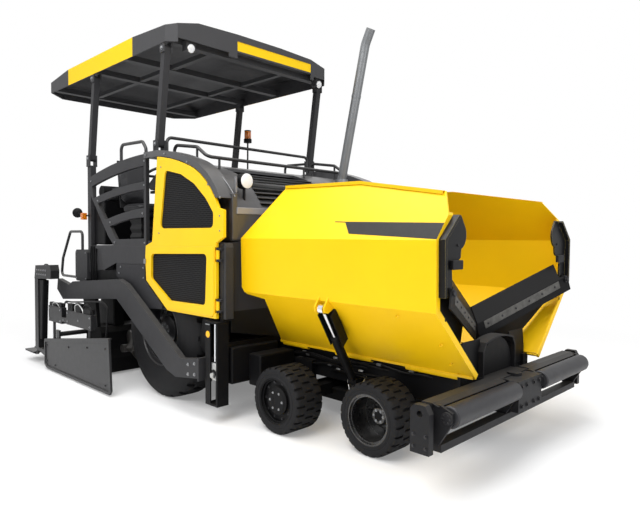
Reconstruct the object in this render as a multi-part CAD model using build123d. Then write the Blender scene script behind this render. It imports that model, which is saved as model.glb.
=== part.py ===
from build123d import *
import math
import os

# Wheeled asphalt paver. Millimetres. +X forward (hopper end), +Y left, +Z up.
# The origin is on the ground, midway between the push rollers and the roof's rear edge.

# Driving dimensions: wheels
FRONT_TYRE_R = 280
FRONT_TYRE_W = 300
FRONT_BORE_R = 195
REAR_TYRE_R = 683
REAR_TYRE_W = 385
REAR_BORE_R = 317
REAR_AXLE_X = -85
REAR_OUTER_Y = 1225
AXLE_PLAY = 0.05

# Driving dimensions: chassis and conveyor tunnel
FRAME_Y = 480
FRAME_PLATE = 20
FRAME_REAR_X = -1260
FRAME_DECK_X = 1000
FRAME_FRONT_X = 2960
FRAME_BOTTOM_Z = 380
FLOOR_Z = 620
FLOOR_T = 20
DECK_Z = 1000

# Driving dimensions: hopper wings
HINGE_Y = 536
HINGE_Z = 640
HINGE_PIN_R = 15
HINGE_TUBE_R = 26
HINGE_REAR_X = 1046
HINGE_FRONT_X = 2960
HINGE_BRACKET = 22
WING_FRONT_X = 3095
CREASE_Y = 1060
CREASE_LOW_Z = 1160
CREASE_TOP_Z = 1635
LIP_Y = 670
LIP_Z = 2115

# Driving dimensions: superstructure
SIDE_Y = 1240
SIDE_T = 8
DOOR_T = 30
DOOR_GAP = 5
PLATFORM_Z = 1540
PLATFORM_REAR_X = -1500
PLATFORM_FRONT_X = -290
PLATE_T = 40
ROOF_Z = 3611
ROOF_H = 205
ROOF_Y = 1155
ROOF_FRONT_X = 35
ROOF_REAR_X = -3305
POST_Y = 1100
POST_W = 70
FRONT_FOOT_X = -269
FRONT_FOOT_Z = 2610
POST_DX = 140
POST_DZ = 955
REAR_FOOT_X = -1835 - POST_DX / 2

# Driving dimensions: push rollers and screed
FRONT_END_X = 3305
ROLLER_R = 72
ROLLER_X = FRONT_END_X - ROLLER_R
ROLLER_Z = 529
TOW_X = 970
TOW_Z = 440
ARM_Y = 1280
ARM_T = 60
END_PLATE_Y = 1580
SCREED_Y = 1230
SCREED_FRONT_X = -1330
SCREED_REAR_X = -1790
AUGER_X = -1030
AUGER_Z = 360
AUGER_R = 200
AUGER_IN_Y = 60

os.makedirs("parts", exist_ok=True)


def block(x0, x1, y0, y1, z0, z1):
    """A rectangular block between two corners."""
    size = (x1 - x0, y1 - y0, z1 - z0)
    centre = ((x0 + x1) / 2, (y0 + y1) / 2, (z0 + z1) / 2)
    return Pos(*centre) * Box(*size)


def side_form(face, y0, y1):
    """A flat face drawn in the side view (X, Z), made solid from y0 to y1."""
    plane = Plane(origin=(0, y1, 0), x_dir=(1, 0, 0), z_dir=(0, -1, 0))
    return extrude(plane * face, y1 - y0)


def side_plate(points, y0, y1, corner=0):
    """A plate cut to an outline seen from the side (X, Z), from y0 to y1, its corners rounded if asked."""
    face = make_face(Polyline(*points, close=True))
    if corner:
        face = fillet(face.vertices(), corner)
    return side_form(face, y0, y1)


def cross_plate(points, x0, x1):
    """A plate cut to an outline seen from the front (Y, Z), from x0 to x1."""
    plane = Plane(origin=(x0, 0, 0), x_dir=(0, 1, 0), z_dir=(1, 0, 0))
    return extrude(plane * make_face(Polyline(*points, close=True)), x1 - x0)


def flat_plate(points, z0, z1):
    """A plate cut to an outline seen from above (X, Y), from z0 to z1."""
    return extrude(Plane.XY.offset(z0) * make_face(Polyline(*points, close=True)), z1 - z0)


def rod(start, end, radius):
    """A round bar between two points."""
    a = Vector(*start)
    b = Vector(*end)
    plane = Plane(origin=a, z_dir=(b - a).normalized())
    return extrude(plane * Circle(radius), (b - a).length)


def rail(points, radius, bend):
    """A bent round bar through points, with one bend radius."""
    path = FilletPolyline(*points, radius=bend)
    section = Plane(origin=path @ 0, z_dir=path % 0) * Circle(radius)
    return sweep(section, path=path)


def turned(profile, x, z):
    """A body of revolution about a crosswise axis at (x, z); profile is (y, radius) points."""
    face = Plane(origin=(x, 0, z), x_dir=(0, 1, 0), z_dir=(1, 0, 0)) * make_face(
        Polyline(*profile, close=True)
    )
    return revolve(face, axis=Axis((x, 0, z), (0, 1, 0)))


def other_side(shape):
    """The same shape on the machine's other side."""
    return mirror(shape, about=Plane.XZ)


def save(name, *shapes):
    """Write one node; several shapes are kept as separate solids."""
    solids = []
    for shape in shapes:
        solids.extend(shape.solids())
    export_step(solids[0] if len(solids) == 1 else Compound(solids), f"parts/{name}.step")


def save_pair(name, left_shape):
    """Write a left node and its mirrored right twin."""
    save(f"{name}_left", left_shape)
    save(f"{name}_right", other_side(left_shape))


# Front bogie wheels. Columns: name, axle x, outer face y, kingpin y, disc y, hub radius, hub end y.
BOGIE = (
    ("front", 2418, 929, 600, 700, 75, 790),
    ("second", 1565, 1098, 780, 1035, 120, 1085),
)
KNUCKLE_R = 45
KNUCKLE_TOP_Z = 374.7
KNUCKLE_BOTTOM_Z = 185.3
SPINDLE_R = 40
RIM_T = 12


def tyre(outer_y, width, radius, bore, shoulder, x):
    """A tyre with bevelled shoulders."""
    inner_y = outer_y - width
    lip = shoulder / 2
    profile = (
        (inner_y, bore),
        (outer_y, bore),
        (outer_y, radius - shoulder),
        (outer_y - lip, radius - lip / 2),
        (outer_y - shoulder, radius),
        (inner_y + shoulder, radius),
        (inner_y + lip, radius - lip / 2),
        (inner_y, radius - shoulder),
    )
    return turned(profile, x, radius)


def front_rim(x, outer_y, disc_y, hub_r, hub_end_y):
    """A barrel with a disc and the hub that turns on the knuckle's spindle."""
    inner_y = outer_y - FRONT_TYRE_W
    disc_end = disc_y + 15
    bore = SPINDLE_R + AXLE_PLAY
    inside = FRONT_BORE_R - RIM_T
    profile = (
        (inner_y + 4, FRONT_BORE_R),
        (inner_y + 4, inside),
        (disc_y, inside),
        (disc_y, hub_r),
        (disc_y - 15, hub_r),
        (disc_y - 15, bore),
        (hub_end_y, bore),
        (hub_end_y, hub_r * 0.8),
        (hub_end_y - 12, hub_r),
        (disc_end, hub_r),
        (disc_end, inside),
        (outer_y - 4, inside),
        (outer_y - 4, FRONT_BORE_R),
    )
    return turned(profile, x, FRONT_TYRE_R)


def knuckle(x, kingpin_y, spindle_end_y):
    """The upright boss on the kingpin, with the wheel's spindle."""
    boss = rod((x, kingpin_y, KNUCKLE_BOTTOM_Z), (x, kingpin_y, KNUCKLE_TOP_Z), KNUCKLE_R)
    spindle = rod((x, kingpin_y, FRONT_TYRE_R), (x, spindle_end_y, FRONT_TYRE_R), SPINDLE_R)
    return boss + spindle


for name, x, outer_y, kingpin_y, disc_y, hub_r, hub_end_y in BOGIE:
    save_pair(f"{name}_tyre", tyre(outer_y, FRONT_TYRE_W, FRONT_TYRE_R, FRONT_BORE_R, 24, x))
    save_pair(f"{name}_rim", front_rim(x, outer_y, disc_y, hub_r, hub_end_y))
    save_pair(f"{name}_knuckle", knuckle(x, kingpin_y, hub_end_y - 2))

# Rear drive wheels: tyre, rim with a deep cone and the planetary hub cover.
REAR_HUB_R = 150
REAR_HUB_END_Y = 1150
REAR_DISC_Y = 1060
rear_inside = REAR_BORE_R - 15
rear_inner_y = REAR_OUTER_Y - REAR_TYRE_W
rear_rim = turned(
    (
        (rear_inner_y + 15, REAR_BORE_R),
        (rear_inner_y + 15, rear_inside),
        (REAR_DISC_Y - 40, rear_inside),
        (REAR_DISC_Y, 230),
        (REAR_DISC_Y, REAR_HUB_R + 20),
        (REAR_DISC_Y - 30, REAR_HUB_R + 20),
        (REAR_DISC_Y - 30, 60 + AXLE_PLAY),
        (REAR_HUB_END_Y - 20, 60 + AXLE_PLAY),
        (REAR_HUB_END_Y - 20, 0),
        (REAR_HUB_END_Y, 0),
        (REAR_HUB_END_Y, 90),
        (REAR_HUB_END_Y - 25, REAR_HUB_R),
        (REAR_DISC_Y + 20, REAR_HUB_R),
        (REAR_DISC_Y + 20, 240),
        (REAR_DISC_Y - 15, rear_inside),
        (REAR_OUTER_Y - 30, rear_inside),
        (REAR_OUTER_Y - 22, 335),
        (REAR_OUTER_Y - 5, 345),
        (REAR_OUTER_Y - 5, 352),
        (REAR_OUTER_Y - 12, 352),
        (REAR_OUTER_Y - 26, 345),
        (REAR_OUTER_Y - 34, REAR_BORE_R),
    ),
    REAR_AXLE_X,
    REAR_TYRE_R,
)
rear_tyre = tyre(REAR_OUTER_Y, REAR_TYRE_W, REAR_TYRE_R, REAR_BORE_R, 70, REAR_AXLE_X) - rear_rim
save_pair("rear_rim", rear_rim)
save_pair("rear_tyre", rear_tyre)

# Rear axle: a flanged drive housing on each side plate and the wheel's shaft.
housing = turned(
    ((FRAME_Y, 190), (FRAME_Y + 30, 190), (FRAME_Y + 30, 150), (900, 130), (900, 110), (1020, 110),
     (1020, 60), (REAR_HUB_END_Y - 25, 60), (REAR_HUB_END_Y - 25, 0), (FRAME_Y, 0)),
    REAR_AXLE_X,
    REAR_TYRE_R,
)
save("rear_axle", housing, other_side(housing))

# Bogie: an oscillating centre beam with two crosswise axle beams, forked around the knuckles.
BOGIE_PIVOT_X = (BOGIE[0][1] + BOGIE[1][1]) / 2
FORK_W = 90
FORK_T = 20
axle_z0 = 230
axle_z1 = 330
bogie = side_plate(
    ((1440, 230), (2540, 230), (2540, 330), (2150, 350), (BOGIE_PIVOT_X + 80, FRAME_BOTTOM_Z - 4),
     (BOGIE_PIVOT_X - 80, FRAME_BOTTOM_Z - 4), (1830, 350), (1440, 330)), -150, 150
)
for name, x, outer_y, kingpin_y, disc_y, hub_r, hub_end_y in BOGIE:
    web_y = kingpin_y - KNUCKLE_R - 25
    bogie += block(x - FORK_W / 2, x + FORK_W / 2, -web_y, web_y, axle_z0, axle_z1)
    for side in (-1, 1):
        inner, outer = sorted((side * (web_y - 20), side * web_y))
        bogie += block(x - 45, x + 45, inner, outer, KNUCKLE_BOTTOM_Z - FORK_T, KNUCKLE_TOP_Z + FORK_T)
        inner, outer = sorted((side * (web_y - 20), side * (kingpin_y + 45)))
        bogie += block(x - 45, x + 45, inner, outer, KNUCKLE_TOP_Z + 0.3, KNUCKLE_TOP_Z + FORK_T)
        bogie += block(x - 45, x + 45, inner, outer, KNUCKLE_BOTTOM_Z - FORK_T, KNUCKLE_BOTTOM_Z - 0.3)
save("bogie_frame", bogie)

# Main frame: two side plates from the auger hangers to the front cross beam, joined by
# cross members, with the conveyor tunnel between them and the hinge pins of the wings.
side_outline = (
    (FRAME_REAR_X, 575), (FRAME_REAR_X, DECK_Z), (FRAME_DECK_X, DECK_Z), (FRAME_DECK_X, FLOOR_Z + 60),
    (FRAME_FRONT_X, FLOOR_Z - 20), (FRAME_FRONT_X, FRAME_BOTTOM_Z + 60), (2700, FRAME_BOTTOM_Z),
    (900, FRAME_BOTTOM_Z), (500, 300), (-600, 300), (-700, 400), (-815, 575),
)
main_frame = side_plate(side_outline, FRAME_Y - FRAME_PLATE, FRAME_Y)
main_frame += side_plate(side_outline, -FRAME_Y, -FRAME_Y + FRAME_PLATE)
inside_y = FRAME_Y - FRAME_PLATE
# Cross members. Columns: x0, x1, z0, z1.
for x0, x1, z0, z1 in (
    (FRAME_REAR_X, FRAME_REAR_X + 40, 575, FLOOR_Z - FLOOR_T),
    (AUGER_X - 80, AUGER_X + 80, AUGER_Z + AUGER_R + 12, FLOOR_Z - FLOOR_T),
    (-200, 100, 320, FLOOR_Z - FLOOR_T),
    (860, 960, 400, FLOOR_Z - FLOOR_T),
    (1400, 1460, 400, FLOOR_Z - FLOOR_T),
    (BOGIE_PIVOT_X - 70, BOGIE_PIVOT_X + 70, FRAME_BOTTOM_Z - 4, FLOOR_Z - FLOOR_T),
    (2500, 2560, 400, FLOOR_Z - FLOOR_T),
    (FRAME_FRONT_X - 40, FRAME_FRONT_X, 440, FLOOR_Z - FLOOR_T),
    (FRAME_REAR_X, FRAME_DECK_X, DECK_Z - 20, DECK_Z),
):
    main_frame += block(x0, x1, -inside_y, inside_y, z0, z1)
# The augers' drive case hangs between their inner ends.
main_frame += block(AUGER_X - 70, AUGER_X + 70, -AUGER_IN_Y, AUGER_IN_Y, AUGER_Z - 75, AUGER_Z + AUGER_R + 15)
for side in (-1, 1):
    for x in (HINGE_REAR_X, HINGE_FRONT_X):
        inner, outer = sorted((side * (FRAME_Y - 10), side * (HINGE_Y + HINGE_BRACKET)))
        main_frame += block(x, x + 25, inner, outer, 560, HINGE_Z + HINGE_BRACKET)
    main_frame += rod((HINGE_REAR_X, side * HINGE_Y, HINGE_Z), (HINGE_FRONT_X + 25, side * HINGE_Y, HINGE_Z),
                      HINGE_PIN_R)
save("main_frame", main_frame)

# Conveyor: the floor plate, two strands of scraper bars on their chains, and the centre chain guard.
CONVEYOR_FRONT_X = 2940
BAR_PITCH = 305
BAR_T = 25
BAR_END_Y = 430
GUARD_HALF_Y = 45
CHAIN_Y = (85, 400)
CHAIN_PLATE_T = 10
conveyor = block(FRAME_REAR_X, CONVEYOR_FRONT_X, -inside_y + 4, inside_y - 4, FLOOR_Z - FLOOR_T, FLOOR_Z)
conveyor += cross_plate(((-GUARD_HALF_Y, FLOOR_Z), (GUARD_HALF_Y, FLOOR_Z), (20, FLOOR_Z + 70),
                         (-20, FLOOR_Z + 70)), FRAME_REAR_X + 30, CONVEYOR_FRONT_X - 30)
bar_count = int((CONVEYOR_FRONT_X - FRAME_REAR_X - 140) / BAR_PITCH) + 1
for i in range(bar_count):
    bar_x = FRAME_REAR_X + 80 + i * BAR_PITCH
    for side in (-1, 1):
        inner, outer = sorted((side * (GUARD_HALF_Y + 15), side * BAR_END_Y))
        conveyor += block(bar_x, bar_x + 45, inner, outer, FLOOR_Z, FLOOR_Z + BAR_T)
for side in (-1, 1):
    for chain_y in CHAIN_Y:
        inner, outer = sorted((side * chain_y, side * (chain_y + CHAIN_PLATE_T)))
        conveyor += block(FRAME_REAR_X + 60, CONVEYOR_FRONT_X - 60, inner, outer, FLOOR_Z, FLOOR_Z + BAR_T - 7)
save("conveyor", conveyor)

# Front hood: the bent cover over the conveyor's front return, open to the front, on two legs that stand
# on the drawbar between the frame and the push beam.
COVER_X = 2905
COVER_END_X = 3010
COVER_LEG_X = FRAME_FRONT_X + 5
COVER_Y = 270
COVER_TOP_Z = 885
COVER_T = 12
DRAWBAR_Z = 450
DRAWBAR_TOP_Z = 590
cover_plane = Plane(origin=(COVER_X, 0, 0), x_dir=(0, 1, 0), z_dir=(1, 0, 0))


def cover_form(inset, base_z, run):
    """The hood's bent outline, drawn in by inset from its outer face, with its foot at base_z."""
    y = COVER_Y - inset
    top = COVER_TOP_Z - inset
    crown = ThreePointArc((-y + 42, top - 33), (0, top), (y - 42, top - 33))
    sides = Polyline((y - 42, top - 33), (y, top - 100), (y, base_z), (-y, base_z), (-y, top - 100),
                     (-y + 42, top - 33))
    return extrude(cover_plane * make_face([crown, sides]), run)


front_cover = cover_form(0, 760, COVER_END_X - COVER_X) - cover_form(COVER_T, 700, COVER_END_X - COVER_X)
for side in (-1, 1):
    inner, outer = sorted((side * (COVER_Y - COVER_T), side * COVER_Y))
    front_cover += block(COVER_LEG_X, COVER_END_X, inner, outer, DRAWBAR_TOP_Z - 30, 770)

# Push beam: a box beam with its centre pivot block, end plates, roller brackets and lower guard bar.
BEAM_X0 = 3050
BEAM_X1 = BEAM_X0 + 80
BEAM_END_Y = 1150
BEAM_Z0 = 440
BEAM_Z1 = 600
END_IN_Y = 1200
END_OUT_Y = 1250
BRACKET_T = 22
BRACKET_IN_Y = 200
BRACKET_OUT_Y = 1112
ROLLER_PIN_R = 20
LASH_X = BEAM_X0 + 55
LASH_Z = 555
LASH_R = 22
push_beam = block(BEAM_X0, BEAM_X1, -BEAM_END_Y, BEAM_END_Y, BEAM_Z0, BEAM_Z1)
push_beam += block(FRAME_FRONT_X, BEAM_X0, -COVER_Y - 5, COVER_Y + 5, DRAWBAR_Z, DRAWBAR_TOP_Z)
push_beam += front_cover
push_beam += block(BEAM_X1 - 30, BEAM_X1 + 50, -BRACKET_OUT_Y - 5, BRACKET_OUT_Y + 5, 293, 343)
end_outline = ((BEAM_X0 - 15, 304), (BEAM_X0 + 125, 304), (BEAM_X0 + 125, 560), (BEAM_X0 + 95, 611),
               (BEAM_X0 + 15, 611), (BEAM_X0 - 15, 580))
bracket_outline = ((BEAM_X0, 343), (ROLLER_X - 63, 343), (ROLLER_X + 35, ROLLER_Z - 29),
                   (ROLLER_X + 35, ROLLER_Z + 36), (ROLLER_X - 53, BEAM_Z1), (BEAM_X0, BEAM_Z1))
for side in (-1, 1):
    inner, outer = sorted((side * BEAM_END_Y, side * END_IN_Y))
    push_beam += block(BEAM_X0 + 10, BEAM_X0 + 70, inner, outer, BEAM_Z0, LASH_Z - LASH_R - 8)
    inner, outer = sorted((side * END_IN_Y, side * END_OUT_Y))
    push_beam += side_plate(end_outline, inner, outer)
    push_beam -= rod((LASH_X, inner - 5, LASH_Z), (LASH_X, outer + 5, LASH_Z), LASH_R)
    for y in (BRACKET_IN_Y, BRACKET_OUT_Y):
        inner, outer = sorted((side * y, side * (y + BRACKET_T)))
        push_beam += side_plate(bracket_outline, inner, outer)
    inner, outer = sorted((side * BRACKET_IN_Y, side * (BRACKET_OUT_Y + BRACKET_T)))
    push_beam += rod((ROLLER_X, inner, ROLLER_Z), (ROLLER_X, outer, ROLLER_Z), ROLLER_PIN_R)
# The pivot block between the rollers carries the beam; its pin shows on both faces.
push_beam += block(BEAM_X1 - 10, ROLLER_X + 27, -BRACKET_IN_Y, BRACKET_IN_Y, 360, BEAM_Z1 - 10)
push_beam += rod((BEAM_X1, 0, BEAM_Z1 - 60), (BEAM_X1, 0, BEAM_Z1 + 14), 55)
save("push_beam", push_beam)

ROLLER_EDGE = 8
roller_in = BRACKET_IN_Y + BRACKET_T + 1
roller_out = BRACKET_OUT_Y - 1
roller = turned(((roller_in, ROLLER_PIN_R + AXLE_PLAY), (roller_out, ROLLER_PIN_R + AXLE_PLAY),
                 (roller_out, ROLLER_R - ROLLER_EDGE), (roller_out - ROLLER_EDGE, ROLLER_R),
                 (roller_in + ROLLER_EDGE, ROLLER_R), (roller_in, ROLLER_R - ROLLER_EDGE)),
                ROLLER_X, ROLLER_Z)
save_pair("push_roller", roller)

# Hopper wings: a folded plate in three flats, with a flange on the front edge and hinge tubes.
wing_section = (
    (HINGE_Y, HINGE_Z), (CREASE_Y, CREASE_LOW_Z), (CREASE_Y + 10, CREASE_TOP_Z), (LIP_Y, LIP_Z),
    (LIP_Y - 9, LIP_Z - 8), (CREASE_Y - 3, CREASE_TOP_Z - 5), (CREASE_Y - 12, CREASE_LOW_Z + 5),
    (HINGE_Y - 9, HINGE_Z + 8),
)
wing_outline = (
    (HINGE_REAR_X - 15, 600), (WING_FRONT_X, 600), (WING_FRONT_X, 1800), (WING_FRONT_X - 110, 1972),
    (2155, LIP_Z - 18), (1255, LIP_Z + 5), (1072, 1635), (1075, 1200), (1130, 1140), (1330, 1110), (1040, 655),
)
flange_section = (
    (HINGE_Y, HINGE_Z), (CREASE_Y, CREASE_LOW_Z), (CREASE_Y + 10, CREASE_TOP_Z), (860, 1883), (827, 1853),
    (CREASE_Y - 36, CREASE_TOP_Z - 17), (CREASE_Y - 45, CREASE_LOW_Z + 18), (HINGE_Y - 32, HINGE_Z + 32),
)
FLANGE_T = 12
wing = cross_plate(wing_section, HINGE_REAR_X - 15, WING_FRONT_X)
wing &= side_plate(wing_outline, LIP_Y - 200, CREASE_Y + 60)
flange = cross_plate(flange_section, WING_FRONT_X - FLANGE_T, WING_FRONT_X)
flange &= side_plate(wing_outline, 0, CREASE_Y + 60)
wing += flange
# Hinge tubes along the lower edge, between the frame's brackets. Columns: from x, to x.
for x0, x1 in ((HINGE_REAR_X + 26, 1400), (1750, 2150), (2500, HINGE_FRONT_X - 2)):
    wing += rod((x0, HINGE_Y, HINGE_Z), (x1, HINGE_Y, HINGE_Z), HINGE_TUBE_R)
wing -= rod((HINGE_REAR_X - 46, HINGE_Y, HINGE_Z), (WING_FRONT_X - 20, HINGE_Y, HINGE_Z), HINGE_PIN_R + AXLE_PLAY)
for x0, x1 in ((HINGE_REAR_X - 46, HINGE_REAR_X + 25.5), (HINGE_FRONT_X - 1.5, HINGE_FRONT_X + 27)):
    wing -= block(x0, x1, HINGE_Y - 80, HINGE_Y + 34, HINGE_Z - 100, HINGE_Z + 35)
# Cylinder lug under the lower crease. The rear ear leaves room for the rod's eye to slide on its pin.
EYE_X = 2100
EYE_Y = 1078
EYE_Z = 1100
PIN_R = 16
EYE_BORE_R = PIN_R + 11
EYE_HALF_X = 24
EYE_SLIDE = 26
LUG_T = 14
lug_outline = ((EYE_Y - 78, EYE_Z + 4), (EYE_Y - 18, EYE_Z + 60), (EYE_Y - 16, EYE_Z + 87), (EYE_Y + 32, EYE_Z + 14),
               (EYE_Y + 24, EYE_Z - 24), (EYE_Y - 14, EYE_Z - 32))
lug_rear = EYE_X - EYE_HALF_X - 4 - EYE_SLIDE
lug_front = EYE_X + EYE_HALF_X + 4
lug = cross_plate(lug_outline, lug_rear - LUG_T, lug_rear)
lug += cross_plate(lug_outline, lug_front, lug_front + LUG_T)
lug += rod((lug_rear - LUG_T, EYE_Y, EYE_Z), (lug_front + LUG_T, EYE_Y, EYE_Z), PIN_R)
wing += lug
# Arm that carries the front flap, with its curved gusset.
ARM_FRONT_X = WING_FRONT_X + 50
ARM_PLATE_T = 14
PIVOT_Y = 950
PIVOT_Z = 1290
PIVOT_R = 20
gusset_edges = [
    Polyline((1043, 1640), (1036, 1262), (905, 1254), (893, 1348), (905, 1503)),
    ThreePointArc((905, 1503), (845, 1492), (790, 1520)),
    Polyline((790, 1520), (785, 1575)),
    ThreePointArc((785, 1575), (724, 1640), (733, 1721)),
    Polyline((733, 1721), (790, 1803), (872, 1803), (1043, 1640)),
]
cross_view = Plane(origin=(WING_FRONT_X, 0, 0), x_dir=(0, 1, 0), z_dir=(1, 0, 0))
arm = extrude(cross_view * make_face(gusset_edges), ARM_PLATE_T)
arm += cross_plate(((1043, 1640), (1036, 1262), (1012, 1262), (1018, 1632), (858, 1790), (872, 1803)),
                   WING_FRONT_X, ARM_FRONT_X)
arm += rod((WING_FRONT_X, PIVOT_Y, PIVOT_Z), (ARM_FRONT_X + 5, PIVOT_Y, PIVOT_Z), PIVOT_R)
wing += arm
save_pair("hopper_wing", wing)

# Front flaps: a folded bar on each arm, sloping down and back to the middle of the hopper.
FLAP_END_X = WING_FRONT_X - 295
FLAP_END_Y = 12
FLAP_GAP = 8
FLAP_END_Z = 930
FLAP_T = 12
FLAP_TUBE_R = 34
flap_start = Vector(ARM_FRONT_X - 4, PIVOT_Y, PIVOT_Z)
flap_end = Vector(FLAP_END_X, FLAP_END_Y, FLAP_END_Z)
flap_run = flap_end - flap_start
along = flap_run.normalized()
flap_plane = Plane(origin=flap_start - along * 30, x_dir=(0, 0, 1), z_dir=along)
flap_section = ((-110, -FLAP_T / 2), (20, -FLAP_T / 2), (154, 50), (150, 60), (20, FLAP_T / 2), (-110, FLAP_T / 2))
flap = extrude(flap_plane * make_face(Polyline(*flap_section, close=True)), flap_run.length + 40)
flap -= block(FLAP_END_X - 200, ARM_FRONT_X, -200, FLAP_GAP, FLAP_END_Z - 300, PIVOT_Z)
flap -= block(FLAP_END_X, ARM_FRONT_X + 50, PIVOT_Y - 70, PIVOT_Y + 100, PIVOT_Z + 15, PIVOT_Z + 200)
flap += rod((WING_FRONT_X + 16, PIVOT_Y, PIVOT_Z), (ARM_FRONT_X - 3, PIVOT_Y, PIVOT_Z), FLAP_TUBE_R)
flap -= rod((WING_FRONT_X, PIVOT_Y, PIVOT_Z), (ARM_FRONT_X + 10, PIVOT_Y, PIVOT_Z), PIVOT_R + AXLE_PLAY)
save_pair("apron_flap", flap)

# Wing cylinders: a bored barrel pinned to the chassis and a rod whose eye rides on the wing's pin.
LOW_X = 1990
LOW_Y = 575
LOW_Z = 425
BARREL_R = 34
ROD_R = 20
LOW_EYE_R = 38
EYE_R = EYE_BORE_R + 11
low = Vector(LOW_X, LOW_Y, LOW_Z)
eye = Vector(EYE_X, EYE_Y, EYE_Z)
reach = eye - low
aim = reach.normalized()
gland = low + aim * (reach.length * 0.63)
barrel = rod(low + aim * 75, gland, BARREL_R)
barrel += rod(low, low + aim * 80, 15)
barrel += rod((LOW_X - 25, LOW_Y, LOW_Z), (LOW_X + 25, LOW_Y, LOW_Z), LOW_EYE_R)
barrel -= rod(low + aim * 110, gland + aim * 20, ROD_R + AXLE_PLAY)
barrel -= rod((LOW_X - 60, LOW_Y, LOW_Z), (LOW_X + 60, LOW_Y, LOW_Z), PIN_R + AXLE_PLAY)
save_pair("cylinder_barrel", barrel)
piston_rod = rod(low + aim * 310, eye - aim * (EYE_R - 6), ROD_R)
piston_rod += rod((EYE_X - EYE_HALF_X, EYE_Y, EYE_Z), (EYE_X + EYE_HALF_X, EYE_Y, EYE_Z), EYE_R)
piston_rod -= rod((EYE_X - 60, EYE_Y, EYE_Z), (EYE_X + 60, EYE_Y, EYE_Z), EYE_BORE_R)
save_pair("cylinder_rod", piston_rod)

# Lower cylinder brackets, on the chassis side plates.
bracket = block(LOW_X - 45, LOW_X - 27, FRAME_Y, LOW_Y + 34, LOW_Z - 20, LOW_Z + 34)
bracket += block(LOW_X + 27, LOW_X + 45, FRAME_Y, LOW_Y + 34, LOW_Z - 20, LOW_Z + 34)
bracket += block(LOW_X - 45, LOW_X + 45, FRAME_Y, FRAME_Y + 14, LOW_Z - 20, LOW_Z + 60)
bracket += rod((LOW_X - 45, LOW_Y, LOW_Z), (LOW_X + 45, LOW_Y, LOW_Z), PIN_R)
save("cylinder_brackets", bracket, other_side(bracket))

# Engine: one plain block on the deck.
save("engine_block", block(-150, 800, -450, 450, DECK_Z, 1750))

# Hood: an arched cover over the engine, with raised bands along both sides and louvres in front.
HOOD_FRONT_X = 1080
HOOD_SKIN_T = 30
HOOD_DROP = 90
HOOD_WALL_Z = 1610
BAND_IN = 1120
BAND_OUT = 1270
BAND_T = 60


def arch_arcs(drop):
    """The hood's line seen from the side, drop below the outer band: a front arc and a top arc."""
    front = ThreePointArc((HOOD_FRONT_X - drop, 1900), (905 - drop * 0.8, 2160 - drop * 0.6), (545, 2376 - drop))
    top = ThreePointArc((545, 2376 - drop), (280, 2455 - drop), (0, 2505 - drop))
    return front, top


def arch_slab(drop, bottom, y0, y1):
    """The hood's side outline as a slab from y0 to y1, down to a level bottom."""
    front, top = arch_arcs(drop)
    rest = Polyline((0, 2505 - drop), (PLATFORM_FRONT_X, 2510 - drop), (PLATFORM_FRONT_X, bottom),
                    (HOOD_FRONT_X - drop, bottom), (HOOD_FRONT_X - drop, 1900))
    return side_form(make_face([front, top, rest]), y0, y1)


hood = arch_slab(HOOD_DROP, HOOD_WALL_Z, -BAND_IN, BAND_IN)
hood -= arch_slab(HOOD_DROP + HOOD_SKIN_T, 1500, -BAND_IN + 25, BAND_IN - 25)
hood += block(PLATFORM_FRONT_X, PLATFORM_FRONT_X + 30, -BAND_IN, BAND_IN, HOOD_WALL_Z, 2415)
for side in (-1, 1):
    inner, outer = sorted((side * (BAND_IN - 20), side * BAND_OUT))
    band = arch_slab(0, 1800, inner, outer) - arch_slab(BAND_T, 1500, inner, outer)
    band -= block(900, 1200, inner, outer, 1700, 1990)
    hood += band
    inner, outer = sorted((side * (BAND_IN - 20), side * BAND_IN))
    hood += arch_slab(40, 1800, inner, outer) - arch_slab(100, 1500, inner, outer)
# Louvres: an opening over the radiator with slats that follow the front arc, and a screen behind them.
LOUVRE_IN_Y = 250
LOUVRE_OUT_Y = -745
LOUVRE_COUNT = 9
SLAT_LEN = 92
SLAT_T = 6
SLAT_LEAN = 32
hood -= arch_slab(HOOD_DROP - 5, 1500, LOUVRE_OUT_Y, LOUVRE_IN_Y) & block(330, 975, LOUVRE_OUT_Y, LOUVRE_IN_Y, 1925, 2500)
slat_line, _ = arch_arcs(HOOD_DROP + 14)
for i in range(LOUVRE_COUNT):
    t = 0.06 + 0.86 * i / (LOUVRE_COUNT - 1)
    at = slat_line @ t
    heading = slat_line % t
    slat = Pos(at.X, 0, at.Y) * Rot(0, -math.degrees(math.atan2(heading.Y, heading.X)) - SLAT_LEAN, 0)
    hood += slat * Pos(0, (LOUVRE_IN_Y + LOUVRE_OUT_Y) / 2, 0) * Box(SLAT_LEN, LOUVRE_IN_Y - LOUVRE_OUT_Y + 4, SLAT_T)
screen = arch_slab(HOOD_DROP + 90, HOOD_WALL_Z, -BAND_IN + 20, BAND_IN - 20)
screen -= arch_slab(HOOD_DROP + 98, 1500, -BAND_IN + 20, BAND_IN - 20)
hood += screen & block(200, HOOD_FRONT_X, -BAND_IN, BAND_IN, HOOD_WALL_Z, 2500)
save("hood", hood)

# Headlights: round lamps on posts at both sides of the louvres.
LAMP_X = 925
LAMP_Y = 920
LAMP_Z = 2162
LAMP_R = 72
headlight = rod((LAMP_X, LAMP_Y, 1900), (LAMP_X, LAMP_Y, LAMP_Z), 14) - arch_slab(HOOD_DROP, 1500, 0, BAND_IN)
headlight += rod((LAMP_X - 35, LAMP_Y, LAMP_Z), (LAMP_X + 45, LAMP_Y, LAMP_Z), LAMP_R)
headlight += rod((LAMP_X - 75, LAMP_Y, LAMP_Z), (LAMP_X - 30, LAMP_Y, LAMP_Z), 42)
headlight -= rod((LAMP_X + 33, LAMP_Y, LAMP_Z), (LAMP_X + 50, LAMP_Y, LAMP_Z), LAMP_R - 8)
save("headlights", headlight, other_side(headlight))

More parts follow.
